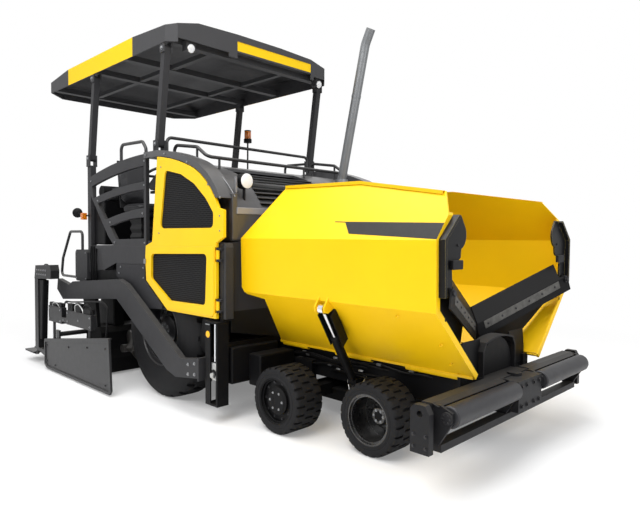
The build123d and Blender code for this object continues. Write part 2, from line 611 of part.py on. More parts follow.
# Side doors: yellow frames with two rounded windows each, hinged at their front edge.
DOOR_HINGE_X = 990
DOOR_HINGE_Y = 1257
DOOR_PIN_R = 8
DOOR_KNUCKLE_R = 15
DOOR_KNUCKLE_Z = (1000, 1450)
DOOR_DROP = 68
WINDOW_CORNER = 45
door_front, door_top = arch_arcs(DOOR_DROP)
door_rest = Polyline((0, 2505 - DOOR_DROP), (-10, 2436), (-115, 1594), (-245, 1551), (-257, 1415), (-236, 1197),
                     (176, 925), (985, 925), (985, 1595), (1092, 1645), (1092, 1880), (HOOD_FRONT_X - DOOR_DROP, 1900))
upper_window = ((137, 2295), (420, 2235), (640, 2135), (830, 1990), (945, 1860), (940, 1726), (40, 1726))
lower_window = ((-124, 1472), (854, 1496), (830, 1031), (226, 1025), (-130, 1224))
door_in = SIDE_Y + DOOR_GAP
door = side_form(make_face([door_front, door_top, door_rest]), door_in, door_in + DOOR_T)
# The lower half stands proud, and its edge turns round the window.
lower_panel = ((-236, 1540), (960, 1560), (960, 945), (190, 945), (-60, 1120), (-215, 1268))
door += side_plate(lower_panel, door_in + DOOR_T, door_in + DOOR_T + 8, 40)
screens = []
for window in (upper_window, lower_window):
    door -= side_plate(window, door_in - 5, door_in + DOOR_T + 20, WINDOW_CORNER)
    screen = side_plate(window, door_in + 8, door_in + 14, WINDOW_CORNER)
    screens.append(screen)
for z in DOOR_KNUCKLE_Z:
    door -= rod((DOOR_HINGE_X, DOOR_HINGE_Y, z - 25), (DOOR_HINGE_X, DOOR_HINGE_Y, z + 105), DOOR_KNUCKLE_R + 13)
    door += block(DOOR_HINGE_X - 40, DOOR_HINGE_X, door_in, DOOR_HINGE_Y + 5, z, z + 80)
    door += rod((DOOR_HINGE_X, DOOR_HINGE_Y, z), (DOOR_HINGE_X, DOOR_HINGE_Y, z + 80), DOOR_KNUCKLE_R)
    door -= rod((DOOR_HINGE_X, DOOR_HINGE_Y, z - 1), (DOOR_HINGE_X, DOOR_HINGE_Y, z + 81), DOOR_PIN_R + AXLE_PLAY)
save_pair("side_door", door)
# Perforated screens in the windows, fast in the door.
save("door_screens_left", *screens)
save("door_screens_right", *[other_side(screen) for screen in screens])

# Body panels: the front wall of the tractor, its corner columns, sills and the lower side panels.
WALL_T = 40
WALL_TOP_Z = 1620
COLUMN_TOP_Z = 1600
wall_outline = (
    (0, DECK_Z - 20), (FRAME_Y, DECK_Z - 20), (FRAME_Y, 690), (560, 690), (1150, 800), (1150, 905), (SIDE_Y, 905),
    (SIDE_Y, COLUMN_TOP_Z - 14), (1115, COLUMN_TOP_Z), (880, WALL_TOP_Z), (0, WALL_TOP_Z),
)
half_wall = cross_plate(wall_outline, FRAME_DECK_X, FRAME_DECK_X + WALL_T)
body = half_wall + other_side(half_wall)
lower_outline = ((-970, 1350), (-270, 1350), (-270, 1190), (80, 920), (-406, 893), (-970, 1206))
skirt_outline = ((-925, 1232), (-855, 1336), (-300, 1348), (-300, 1185), (95, 925), (-365, 900), (-750, 1150))
for side in (-1, 1):
    for z in DOOR_KNUCKLE_Z:
        for z0, z1 in ((z - 20, z - 0.3), (z + 80.3, z + 100)):
            inner, outer = sorted((side * (SIDE_Y - 10), side * (DOOR_HINGE_Y + 8)))
            body += block(DOOR_HINGE_X, FRAME_DECK_X + WALL_T, inner, outer, z0, z1)
            body += rod((DOOR_HINGE_X, side * DOOR_HINGE_Y, z0), (DOOR_HINGE_X, side * DOOR_HINGE_Y, z1),
                        DOOR_KNUCKLE_R)
        body += rod((DOOR_HINGE_X, side * DOOR_HINGE_Y, z - 20), (DOOR_HINGE_X, side * DOOR_HINGE_Y, z + 100),
                    DOOR_PIN_R)
    inner, outer = sorted((side * (SIDE_Y - SIDE_T), side * SIDE_Y))
    body += side_plate(lower_outline, inner, outer)
    body += block(-265, FRAME_DECK_X, inner, outer, PLATFORM_Z, COLUMN_TOP_Z)
    inner, outer = sorted((side * SIDE_Y, side * (SIDE_Y + 18)))
    body += side_plate(skirt_outline, inner, outer, 24)
    inner, outer = sorted((side * 830, side * (SIDE_Y - SIDE_T)))
    body += block(-970, -940, inner, outer, 1210, PLATFORM_Z - PLATE_T)
    inner, outer = sorted((side * FRAME_Y, side * SIDE_Y))
    body += block(-265, FRAME_DECK_X, inner, outer, COLUMN_TOP_Z - 15, COLUMN_TOP_Z)
save("body_panels", body)

# Platform: the operator's deck, its sides, rear wall, the two rear columns and a stowage drum on each.
COLUMN_HALF_X = 45
DRUM_IN_Y = 1020
DRUM_OUT_Y = 1168
platform = block(PLATFORM_REAR_X, PLATFORM_FRONT_X, -SIDE_Y, SIDE_Y, PLATFORM_Z - PLATE_T, PLATFORM_Z)
platform += block(PLATFORM_REAR_X, PLATFORM_REAR_X + 30, -900, 900, DECK_Z, PLATFORM_Z)
platform += block(-1290, -1260, -SIDE_Y, SIDE_Y, 1250, PLATFORM_Z)
platform += block(-700, -650, -450, 450, DECK_Z, PLATFORM_Z)
drum_outline = ((-2264, 1105), (-2230, 1074), (-1945, 1074), (-1912, 1105), (-1912, 1440), (-1945, 1473),
                (-2230, 1473), (-2264, 1440))
for side in (-1, 1):
    inner, outer = sorted((side * (SIDE_Y - SIDE_T), side * SIDE_Y))
    platform += side_plate(((-1362, PLATFORM_Z), (-1300, 1250), (-970, 1350), (-270, 1350), (-270, PLATFORM_Z)),
                           inner, outer)
    inner, outer = sorted((side * (POST_Y - 35), side * (POST_Y + 35)))
    platform += block(REAR_FOOT_X - COLUMN_HALF_X, REAR_FOOT_X + COLUMN_HALF_X, inner, outer, 1200,
                      FRONT_FOOT_Z - 100)
    platform += side_plate(((REAR_FOOT_X, 1200), (-1490, 1250), (-1490, PLATFORM_Z), (REAR_FOOT_X, 1500)),
                           inner, outer)
    inner, outer = sorted((side * DRUM_IN_Y, side * DRUM_OUT_Y))
    platform += side_plate(drum_outline, inner, outer)
save("platform", platform)

# Side guards: curved frames with three arched openings at both sides of the platform.
GUARD_T = 40
guard_edges = [
    Polyline((-1665, 2345), (-1668, 2178), (-1470, 1967), (-1176, 1652), (-1030, PLATFORM_Z), (-300, PLATFORM_Z),
             (-300, 2503)),
    ThreePointArc((-300, 2503), (-980, 2462), (-1665, 2345)),
]
# Columns: top left, a point on the top edge, top right, bottom right, a point on the bottom edge, bottom left.
GUARD_WINDOWS = (
    ((-1590, 2240), (-994, 2335), (-345, 2384), (-345, 2216), (-850, 2188), (-1555, 2095)),
    ((-1440, 2028), (-900, 2106), (-345, 2138), (-345, 1943), (-740, 1911), (-1240, 1832)),
    ((-1125, 1758), (-700, 1828), (-345, 1848), (-345, 1625), (-660, 1618), (-985, 1612)),
)
guard = side_form(make_face(guard_edges), SIDE_Y - GUARD_T, SIDE_Y)
for a, b, c, d, e, f in GUARD_WINDOWS:
    opening = make_face([ThreePointArc(a, b, c), Line(c, d), ThreePointArc(d, e, f), Line(f, a)])
    guard -= side_form(opening, SIDE_Y - GUARD_T - 10, SIDE_Y + 10)
save_pair("side_guard", guard)

# Seats: a pedestal, a cushion, a backrest and two armrests at each side of the platform.
SEAT_Y = 810
SEAT_HALF_Y = 245
cushion = side_plate(((-1340, 1905), (-1340, 2035), (-1100, 2010), (-850, 2035), (-835, 1960), (-870, 1905)),
                     SEAT_Y - SEAT_HALF_Y, SEAT_Y + SEAT_HALF_Y, 22)
backrest = side_plate(((-1310, 2000), (-1385, 2030), (-1470, 2540), (-1440, 2600), (-1370, 2580), (-1330, 2300)),
                      SEAT_Y - SEAT_HALF_Y + 20, SEAT_Y + SEAT_HALF_Y - 20, 24)
pedestal = cross_plate(((SEAT_Y - 120, PLATFORM_Z), (SEAT_Y + 120, PLATFORM_Z), (SEAT_Y + 170, 1908),
                        (SEAT_Y - 170, 1908)), -1230, -960)
seat = cushion + backrest + pedestal
for side in (-1, 1):
    inner, outer = sorted((SEAT_Y + side * (SEAT_HALF_Y - 25), SEAT_Y + side * (SEAT_HALF_Y + 30)))
    seat += side_plate(((-1400, 2180), (-1400, 2215), (-1010, 2225), (-1000, 2190)), inner, outer)
save("seats", seat, other_side(seat))

# Console: a cross beam on a pedestal, with a sloping panel and a steering wheel for each seat.
WHEEL_R = 190
console = side_plate(((-640, 2160), (-700, 2215), (-520, 2330), (-455, 2300), (-455, 2180)), -1000, 1000)
console += block(-600, -500, -150, 150, PLATFORM_Z, 2180)
for side in (-1, 1):
    hub = Vector(-750, side * SEAT_Y, 2330)
    lean = Vector(-0.5, 0, 0.866)
    console += rod(hub - lean * 30 - Vector(-95, 0, 130), hub, 24)
    ring = Plane(origin=hub, z_dir=lean) * Torus(WHEEL_R, 15)
    spokes = Plane(origin=hub - lean * 6, z_dir=lean) * Box(2 * WHEEL_R, 34, 12)
    spokes += Plane(origin=hub - lean * 6, z_dir=lean) * Box(34, 2 * WHEEL_R, 12)
    console += ring + spokes
save("console", console)

# Roof: two pairs of posts that fold back together, and the canopy on them.


def post(foot_x, foot_z, y):
    """A post from its foot pivot to its head pivot, with a rounded end at each."""
    foot = (foot_x, foot_z)
    head = (foot_x + POST_DX, foot_z + POST_DZ)
    half = POST_W / 2
    length = math.hypot(POST_DX, POST_DZ)
    nx = POST_DZ / length * half
    nz = -POST_DX / length * half
    outline = ((foot[0] - nx, foot[1] - nz), (foot[0] + nx, foot[1] + nz),
               (head[0] + nx, head[1] + nz), (head[0] - nx, head[1] - nz))
    body = side_plate(outline, y - half, y + half)
    for x, z in (foot, head):
        body += rod((x, y - half, z), (x, y + half, z), half)
    return body


def post_pair(foot_x, foot_z):
    """The left post and its right twin."""
    left = post(foot_x, foot_z, POST_Y)
    return left, other_side(left)


front_left, front_right = post_pair(FRONT_FOOT_X, FRONT_FOOT_Z)
save("front_posts", front_left, front_right)
rear_left, rear_right = post_pair(REAR_FOOT_X, FRONT_FOOT_Z)
save("rear_posts", rear_left, rear_right)

# Canopy: a moulded shell, crowned across, lower at both ends and open below. Columns: x, edge z, rise.
ROOF_T = 14
ROOF_LINE = (
    (ROOF_FRONT_X, 3773, 100), (-738, 3815, 80), (-2466, 3814, 80), (-3183, 3737, 80), (ROOF_REAR_X, 3702, 75),
)
# Rise across. Columns: part of the half width, part of the rise.
ROOF_CROWN = ((1, 0), (0.71, 0.83), (0.27, 1))


def roof_form(inset, bottom):
    """The roof's outer form, or the hollow inside it, inset from it on all sides."""
    sections = []
    for x, edge_z, rise in ROOF_LINE:
        if x == ROOF_FRONT_X:
            x -= inset
        if x == ROOF_REAR_X:
            x += inset
        half = ROOF_Y - inset
        left = [(half * part, edge_z + rise * up - inset) for part, up in ROOF_CROWN]
        right = [(-y, z) for y, z in reversed(left)]
        outline = [(half, bottom), *left, *right, (-half, bottom)]
        plane = Plane(origin=(x, 0, 0), x_dir=(0, 1, 0), z_dir=(1, 0, 0))
        sections.append(plane * make_face(Polyline(*outline, close=True)))
    return loft(sections, ruled=True)


def roof_plan(inset):
    """The roof's outline from above, with its bevelled corners."""
    front = ROOF_FRONT_X - inset
    rear = ROOF_REAR_X + inset
    half = ROOF_Y - inset
    return ((front, -half + 90), (front, half - 90), (front - 90, half), (rear + 250, half), (rear, half - 250),
            (rear, -half + 250), (rear + 250, -half), (front - 90, -half))


canopy = roof_form(0, ROOF_Z) & flat_plate(roof_plan(0), ROOF_Z - 50, ROOF_Z + 400)
canopy -= roof_form(ROOF_T, ROOF_Z - 20) & flat_plate(roof_plan(ROOF_T), ROOF_Z - 60, ROOF_Z + 400)
# The front edge: a lower centre between the corner blocks, with a recess along it, and arched blocks.
FASCIA_Y = (-316, 821)
FASCIA_Z = (3695, 3800)
canopy -= block(ROOF_FRONT_X - 5, ROOF_FRONT_X + 5, *FASCIA_Y, *FASCIA_Z)
canopy -= block(ROOF_FRONT_X - 40, ROOF_FRONT_X + 5, *FASCIA_Y, ROOF_Z - 5, FASCIA_Z[0] - 18)
for y0, y1 in ((-1060, -430), (870, 1060)):
    canopy -= block(ROOF_FRONT_X - 40, ROOF_FRONT_X + 5, y0, y1, ROOF_Z - 5, ROOF_Z + 42)
POST_HEADS = (FRONT_FOOT_X + POST_DX, REAR_FOOT_X + POST_DX)
for x in (-3000, POST_HEADS[1], -1000, POST_HEADS[0]):
    canopy += block(x - 45, x + 45, -ROOF_Y + 8, ROOF_Y - 8, ROOF_Z + 20, ROOF_Z + 85)
for y in (-520, 520):
    canopy += block(-3040, POST_HEADS[0], y - 30, y + 30, ROOF_Z + 30, ROOF_Z + 80)
for x in POST_HEADS:
    z = FRONT_FOOT_Z + POST_DZ
    for side in (-1, 1):
        for gap in (POST_W / 2 + 0.3, -POST_W / 2 - 0.3 - 14):
            inner, outer = sorted((side * (POST_Y + gap), side * (POST_Y + gap + 14)))
            canopy += block(x - 40, x + 40, inner, outer, z - 40, ROOF_Z + 25)
# Work lamps under the front corners.
for y in (-883, 1007):
    canopy += block(ROOF_FRONT_X - 120, ROOF_FRONT_X - 40, y - 55, y + 55, ROOF_Z - 45, ROOF_Z + 60)
    canopy += block(ROOF_FRONT_X - 180, ROOF_FRONT_X - 40, y - 20, y + 20, ROOF_Z + 40, ROOF_Z + 75)
save("canopy", canopy)

# Post feet on the hood bands and the rear columns.
feet = []
for x in (FRONT_FOOT_X, REAR_FOOT_X):
    for side in (-1, 1):
        for gap in (POST_W / 2 + 0.3, -POST_W / 2 - 0.3 - 14):
            inner, outer = sorted((side * (POST_Y + gap), side * (POST_Y + gap + 14)))
            feet.append(block(x - 45, x + 45, inner, outer, FRONT_FOOT_Z - 88, FRONT_FOOT_Z + 40))
        inner, outer = sorted((side * (POST_Y - 50), side * (POST_Y + 50)))
        feet.append(block(x - 45, x + 45, inner, outer, FRONT_FOOT_Z - 100, FRONT_FOOT_Z - 88))
save("post_feet", *Part().fuse(*feet).solids())

# Handrails: the guard rail between the posts, the hood rail, rails on the side guards, loops at the rear.
RAIL_R = 17
RAIL_BEND = 60
LOOP_Y = 1128
hood_top = arch_slab(HOOD_DROP, 1500, -BAND_IN, BAND_IN)
handrails = [rail(((-240, 1030, 2419.6), (-240, 1030, 2690), (-240, -1030, 2690), (-240, -1030, 2419.6)),
                  RAIL_R, RAIL_BEND)]
hood_rail = rail(((-140, -1000, 2300), (-140, -1000, 2600), (279, -1000, 2538), (456, -1000, 2426),
                  (456, 1000, 2426), (279, 1000, 2538), (-140, 1000, 2600), (-140, 1000, 2300)), RAIL_R, RAIL_BEND)
for x, y, z in ((279, -1000, 2530), (279, 1000, 2530), (456, -860, 2426), (456, 300, 2426)):
    hood_rail += rod((x, y, 2250), (x, y, z), 12)
handrails.append(hood_rail - hood_top)
for side in (-1, 1):
    y = side * (SIDE_Y - GUARD_T / 2)
    guard_rail = rail(((-877, y, 2440), (-877, y, 2655), (-400, y, 2640), (-330, y, 2560), (-330, y, 2470)),
                      RAIL_R, RAIL_BEND)
    inner, outer = sorted((side * (SIDE_Y - GUARD_T), side * SIDE_Y))
    handrails.append(guard_rail - side_form(make_face(guard_edges), inner, outer))
    y = side * LOOP_Y
    loop = rail(((-2135, y, 1250), (-2135, y, 1705), (-2510, y, 1705), (-2765, y, 1348), (-2820, y, 1112),
                 (-2190, y, 1112), (-2190, y, 1200)), RAIL_R, RAIL_BEND)
    inner, outer = sorted((side * DRUM_IN_Y, side * DRUM_OUT_Y))
    handrails.append(loop - side_plate(drum_outline, inner, outer))
save("handrails", *handrails)

# Exhaust: a raked stack with a bent tip.
EXHAUST_R = 52
EXHAUST_FOOT_R = 75
EXHAUST_BEND = 260
EXHAUST_FOOT = Vector(580, 800, 2312)
EXHAUST_KNEE = Vector(930, 800, 3830)
EXHAUST_TIP = Vector(1010, 800, 3985)
exhaust = rail((EXHAUST_FOOT, EXHAUST_KNEE, EXHAUST_TIP), EXHAUST_R, EXHAUST_BEND)
foot_top = EXHAUST_FOOT + Vector(0, 0, 18)
exhaust += rod(foot_top - Vector(0, 0, 130), foot_top, EXHAUST_FOOT_R) - arch_slab(HOOD_DROP, 1500, 0, BAND_IN)
save("exhaust", exhaust)

# Beacon on its mast, fixed to the left rear column.
BEACON_X = -1735
BEACON_Y = 1228
BEACON_Z = 3110
BEACON_MAST_R = 12
column_x = REAR_FOOT_X + COLUMN_HALF_X
beacon = rail(((column_x, POST_Y, 2380), (BEACON_X, POST_Y, 2380), (BEACON_X, BEACON_Y, 2480),
               (BEACON_X, BEACON_Y, BEACON_Z - 30)), BEACON_MAST_R, 40)
beacon += rod((BEACON_X, BEACON_Y, BEACON_Z - 35), (BEACON_X, BEACON_Y, BEACON_Z + 20), 60)
beacon += rod((BEACON_X, BEACON_Y, BEACON_Z + 20), (BEACON_X, BEACON_Y, BEACON_Z + 150), 50)
save("beacon", beacon)

# Tow guides: an upright channel on each side. The tow pin sits in it, below a block on the lift rod.
GUIDE_X0 = 860
GUIDE_X1 = 1040
GUIDE_IN_Y = 1180
GUIDE_OUT_Y = 1302
GUIDE_Z0 = 155
GUIDE_Z1 = 900
GUIDE_T = 12
TOW_PIN_R = 30
guide = block(GUIDE_X0, GUIDE_X1, GUIDE_IN_Y, GUIDE_IN_Y + GUIDE_T, GUIDE_Z0, GUIDE_Z1)
guide += block(GUIDE_X0, GUIDE_X0 + 75, GUIDE_OUT_Y - GUIDE_T, GUIDE_OUT_Y, GUIDE_Z0, GUIDE_Z1)
guide += block(GUIDE_X1 - 18, GUIDE_X1, GUIDE_IN_Y, GUIDE_OUT_Y, GUIDE_Z0, GUIDE_Z1)
guide += block(GUIDE_X0, GUIDE_X0 + 14, GUIDE_IN_Y, GUIDE_OUT_Y, 570, GUIDE_Z1)
for z0, z1 in ((GUIDE_Z0, GUIDE_Z0 + 16), (GUIDE_Z1 - 16, GUIDE_Z1)):
    guide += block(GUIDE_X0, GUIDE_X1, GUIDE_IN_Y, GUIDE_OUT_Y, z0, z1)
for z0, z1 in ((640, 700), (380, 440)):
    guide += block(900, FRAME_DECK_X, FRAME_Y, GUIDE_IN_Y, z0, z1)
guide += block(TOW_X - 43, TOW_X + 45, GUIDE_OUT_Y - 34, GUIDE_OUT_Y - 18, TOW_Z - 62, TOW_Z + 98)
guide += block(TOW_X - 43, TOW_X + 45, GUIDE_IN_Y, GUIDE_OUT_Y - 18, TOW_Z + 52, TOW_Z + 98)
guide += rod((TOW_X, GUIDE_IN_Y, TOW_Z), (TOW_X, GUIDE_OUT_Y - 18, TOW_Z), TOW_PIN_R)
guide += rod((TOW_X, GUIDE_OUT_Y - 18, TOW_Z), (TOW_X, GUIDE_OUT_Y - 6, TOW_Z), TOW_PIN_R + 8)
guide += rod((TOW_X + 15, GUIDE_OUT_Y - 62, TOW_Z + 90), (TOW_X + 15, GUIDE_OUT_Y - 62, GUIDE_Z1 - 5), 22)
save("tow_guides", guide, other_side(guide))

# Tow arms: a cranked plate with an end flange, and a tongue whose eye turns on the tow pin.
FLANGE_X = 788
TONGUE_Y = GUIDE_IN_Y + 25
TONGUE_T = 57
arm_side = (
    (FLANGE_X, 372), (419, 325), (261, 368), (-767, 965), (-2237, 846), (-2425, 964), (-2397, 1098), (-2048, 1040),
    (-1935, 1088), (-730, 1183), (-563, 1138), (510, 513), (FLANGE_X, 552),
)
tongue_side = ((FLANGE_X, 390), (TOW_X, TOW_Z - 36), (TOW_X, TOW_Z + 36), (FLANGE_X, 490))
tow_arm = side_plate(arm_side, ARM_Y, ARM_Y + ARM_T)
tow_arm += block(FLANGE_X, FLANGE_X + 20, TONGUE_Y, ARM_Y + ARM_T, 350, 560)
tow_arm += side_plate(tongue_side, TONGUE_Y, TONGUE_Y + TONGUE_T)
tow_arm += rod((TOW_X, TONGUE_Y, TOW_Z), (TOW_X, TONGUE_Y + TONGUE_T, TOW_Z), 36)
tow_arm -= rod((TOW_X, TONGUE_Y - 10, TOW_Z), (TOW_X, TONGUE_Y + TONGUE_T + 10, TOW_Z), TOW_PIN_R + AXLE_PLAY)
save("tow_arms", tow_arm, other_side(tow_arm))

# Screed: the heated main body between the tow arms, with its walkway and the uprights that carry it.
SCREED_TOP_Z = 560
screed_outline = (
    (SCREED_REAR_X, 25), (SCREED_FRONT_X, 25), (SCREED_FRONT_X, 190), (SCREED_FRONT_X - 40, 300),
    (SCREED_FRONT_X - 60, 500), (SCREED_FRONT_X - 120, SCREED_TOP_Z), (SCREED_REAR_X + 40, SCREED_TOP_Z),
    (SCREED_REAR_X, 500),
)
screed = side_plate(screed_outline, -SCREED_Y, SCREED_Y)
for side in (-1, 1):
    inner, outer = sorted((side * (SCREED_Y - 40), side * ARM_Y))
    screed += block(-2200, -1700, inner, outer, 900, 1000)
    inner, outer = sorted((side * (SCREED_Y - 40), side * SCREED_Y))
    screed += side_plate(((-1900, 900), (-1900, 1000), (-1560, 1000), (-1480, 500), (-1760, 500)), inner, outer)
# Guide eyes for the extensions' slide tubes: the left tube runs low, the right one high.
SLIDE_X = -1850
SLIDE_R = 28
SLIDE_Z = {1: 400, -1: 468}
for side in (-1, 1):
    inner, outer = sorted((side * 1130, side * 1190))
    screed += block(SLIDE_X - 45, SCREED_REAR_X, inner, outer, 345, 530)
    screed -= rod((SLIDE_X, inner - 5, SLIDE_Z[side]), (SLIDE_X, outer + 5, SLIDE_Z[side]), SLIDE_R + 0.3)
save("screed_main", screed)

# Screed extensions: body, end plate with its rim and height spindles, walkway, step and control box.
EXT_IN_Y = 310
EXT_FRONT_X = SCREED_REAR_X - 6
EXT_REAR_X = -2200
EXT_TOP_Z = 330
PLATE_IN_Y = END_PLATE_Y - 24
RIM_T = 12
CONTROL_W = 105
ext_outline = ((EXT_REAR_X, 25), (EXT_FRONT_X, 25), (EXT_FRONT_X, EXT_TOP_Z), (-2130, EXT_TOP_Z),
               (EXT_REAR_X, 250))
plate_outline = ((-2220, 357), (-2220, 60), (-2150, 20), (-450, 20), (-420, 60), (-460, 590))
plate_inside = ((-2192, 338), (-2192, 72), (-2140, 48), (-470, 48), (-450, 75), (-484, 556))
ext = side_plate(ext_outline, EXT_IN_Y, PLATE_IN_Y)
ext += side_plate(plate_outline, PLATE_IN_Y, END_PLATE_Y)
ext -= side_plate(plate_inside, END_PLATE_Y - RIM_T, END_PLATE_Y + 5, 16)
# Walkway on two brackets, and the lower step behind it.
ext += block(-2620, EXT_REAR_X, EXT_IN_Y, PLATE_IN_Y, 195, 220)
for y0, y1 in ((EXT_IN_Y + 20, EXT_IN_Y + 50), (PLATE_IN_Y - 60, PLATE_IN_Y - 30)):
    ext += side_plate(((EXT_REAR_X + 5, 100), (-2600, 175), (-2600, 200), (EXT_REAR_X + 5, 200)), y0, y1)
    ext += side_plate(((-2540, 200), (-2640, 105), (-2940, 105), (-2940, 130), (-2660, 130), (-2590, 200)), y0, y1)
ext += block(-2965, -2655, EXT_IN_Y, PLATE_IN_Y, 120, 141)
# Control stand.
inner = PLATE_IN_Y - CONTROL_W
ext += block(-2590, -2480, inner, PLATE_IN_Y, 210, 1120)
ext += side_plate(((-2600, 1100), (-2560, 1270), (-2080, 1290), (-2050, 1220), (-2060, 1118)), inner, PLATE_IN_Y)
ext += block(SLIDE_X - 45, SLIDE_X + 45, PLATE_IN_Y - 20, PLATE_IN_Y, EXT_TOP_Z - 5, 520)
# Height spindles of the end plate, with the gear cases that turn them.
GEAR_IN_Y = PLATE_IN_Y - 48
for x in (-1960, -960):
    ext += rod((x, PLATE_IN_Y - 6, 380), (x, PLATE_IN_Y - 6, 640), 16)
    ext += block(x - 30, x + 30, PLATE_IN_Y - 22, PLATE_IN_Y + 4, 300, 400)
for x0, x1, z0, z1 in ((-2100, -1700, 610, 800), (-1560, -900, 625, 790), (-1710, -1550, 640, 690)):
    ext += block(x0, x1, GEAR_IN_Y, PLATE_IN_Y + 10, z0, z1)
for side, name in ((1, "left"), (-1, "right")):
    tube = rod((SLIDE_X, 60, SLIDE_Z[side]), (SLIDE_X, END_PLATE_Y - 30, SLIDE_Z[side]), SLIDE_R)
    half = ext + tube
    save(f"screed_extension_{name}", half if side > 0 else other_side(half))

# Augers: a shaft on each side of the centre drive, with a screw flight twisted round it.
AUGER_SHAFT_R = 45
AUGER_PITCH = 320
AUGER_END_Y = 1150
FLIGHT_IN_Y = 170
FLIGHT_OUT_Y = 1130
FLIGHT_HALF_DEG = 8
auger = rod((AUGER_X, AUGER_IN_Y, AUGER_Z), (AUGER_X, AUGER_END_Y, AUGER_Z), AUGER_SHAFT_R)
flight_length = FLIGHT_OUT_Y - FLIGHT_IN_Y
spread = math.radians(FLIGHT_HALF_DEG)
flight_face = make_face(Polyline(
    ((AUGER_SHAFT_R - 8) * math.cos(spread), -(AUGER_SHAFT_R - 8) * math.sin(spread)),
    (AUGER_R * math.cos(spread), -AUGER_R * math.sin(spread)),
    (AUGER_R * math.cos(spread), AUGER_R * math.sin(spread)),
    ((AUGER_SHAFT_R - 8) * math.cos(spread), (AUGER_SHAFT_R - 8) * math.sin(spread)),
    close=True,
))
flight = Solid.extrude_linear_with_rotation(flight_face.faces()[0], (0, 0, 0), (0, 0, flight_length),
                                            360 * flight_length / AUGER_PITCH)
auger += Plane(origin=(AUGER_X, FLIGHT_IN_Y, AUGER_Z), x_dir=(1, 0, 0), z_dir=(0, 1, 0)) * flight
save_pair("auger", auger)
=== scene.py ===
import math

import bmesh
import bpy
import numpy as np
from mathutils import Matrix


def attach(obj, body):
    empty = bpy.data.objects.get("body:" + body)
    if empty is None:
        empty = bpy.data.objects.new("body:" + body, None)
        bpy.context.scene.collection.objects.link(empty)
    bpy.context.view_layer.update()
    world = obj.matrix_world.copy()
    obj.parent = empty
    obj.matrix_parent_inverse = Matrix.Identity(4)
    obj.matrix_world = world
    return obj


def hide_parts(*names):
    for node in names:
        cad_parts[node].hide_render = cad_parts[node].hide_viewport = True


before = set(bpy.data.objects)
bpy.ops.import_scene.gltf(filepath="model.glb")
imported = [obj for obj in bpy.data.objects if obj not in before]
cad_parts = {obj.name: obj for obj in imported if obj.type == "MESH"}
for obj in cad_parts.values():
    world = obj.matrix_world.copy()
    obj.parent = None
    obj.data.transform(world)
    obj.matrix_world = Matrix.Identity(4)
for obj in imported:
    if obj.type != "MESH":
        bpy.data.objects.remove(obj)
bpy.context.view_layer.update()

# Camera: where the photographer stood, off the right front corner at a grown-up's eye height, a little
# wide of a normal lens. It looks across the machine towards its rear and is turned by a third of a degree.
CAMERA_AT = (5.0792, -4.1655, 1.6517)
CAMERA_YAW = 44.31
CAMERA_PITCH = 1.99
CAMERA_ROLL = 0.32
CAMERA_LENS = 31.69
SENSOR_MM = 36
FARTHEST_M = 300
camera = bpy.data.objects.new("camera", bpy.data.cameras.new("camera"))
bpy.context.scene.collection.objects.link(camera)
camera.data.sensor_width = SENSOR_MM
camera.data.lens = CAMERA_LENS
camera.data.clip_end = FARTHEST_M
camera.location = CAMERA_AT
turn = Matrix.Identity(3)
for angle, axis in ((CAMERA_YAW, "Z"), (90 - CAMERA_PITCH, "X"), (CAMERA_ROLL, "Z")):
    turn = turn @ Matrix.Rotation(math.radians(angle), 3, axis)
camera.rotation_euler = turn.to_euler()
bpy.context.scene.camera = camera
bpy.context.scene.view_settings.view_transform = "Standard"

# Floor and studio: a pale seamless floor that keeps the soft shadow under the machine and runs out to
# plain white, a white surround, and three large soft lamps, the main one on the camera's side.
MM = 0.001
FLOOR_HALF = 100.0
FLOOR_NEAR = 3.2
FLOOR_FAR = 7.5
FLOOR_GLOW = 0.22
WORLD_FILL = 0.42


def colour(text):
    """An sRGB hex value as linear red, green, blue and alpha, by the sRGB curve."""
    part = np.array([int(text[i:i + 2], 16) for i in (1, 3, 5)]) / 255
    linear = np.where(part <= 0.04045, part / 12.92, ((part + 0.055) / 1.055) ** 2.4)
    return (*linear.tolist(), 1.0)


def add(tree, kind, attributes=None, values=None, links=None):
    """Adds one shader node, with its attributes, the values of its inputs and what feeds them.

    A text value is a colour. A link comes from an output, or from a node whose first output is meant."""
    made = tree.nodes.new("ShaderNode" + kind)
    for key, value in (attributes or {}).items():
        setattr(made, key, value)
    for key, value in (values or {}).items():
        made.inputs[key].default_value = colour(value) if isinstance(value, str) else value
    for key, source in (links or {}).items():
        tree.links.new(getattr(source, "outputs", [source])[0], made.inputs[key])
    return made


def blank(owner):
    """The node tree of a material or a world, emptied."""
    owner.use_nodes = True
    owner.node_tree.nodes.clear()
    return owner.node_tree


def material(name):
    """A new material, its empty node tree, and the Object coordinates that its patterns read."""
    made = bpy.data.materials.new(name)
    tree = blank(made)
    return made, tree, add(tree, "TexCoord").outputs["Object"]


def surface(name, vertices, faces, smooth=0):
    """A mesh object from an (n, 3) array of points in metres and lists of point numbers.

    Points that coincide are merged, which closes seams and poles, and a closed skin is turned outwards.
    Faces that meet at less than the angle smooth, in degrees, are shaded as one."""
    mesh = bpy.data.meshes.new(name)
    mesh.from_pydata(np.asarray(vertices, float).reshape(-1, 3).tolist(), [], faces)
    form = bmesh.new()
    form.from_mesh(mesh)
    bmesh.ops.remove_doubles(form, verts=form.verts, dist=1e-6)
    bmesh.ops.recalc_face_normals(form, faces=form.faces)
    form.to_mesh(mesh)
    form.free()
    if smooth:
        mesh.polygons.foreach_set("use_smooth", [True] * len(mesh.polygons))
        mesh.set_sharp_from_angle(angle=math.radians(smooth))
    made = bpy.data.objects.new(name, mesh)
    bpy.context.scene.collection.objects.link(made)
    return made


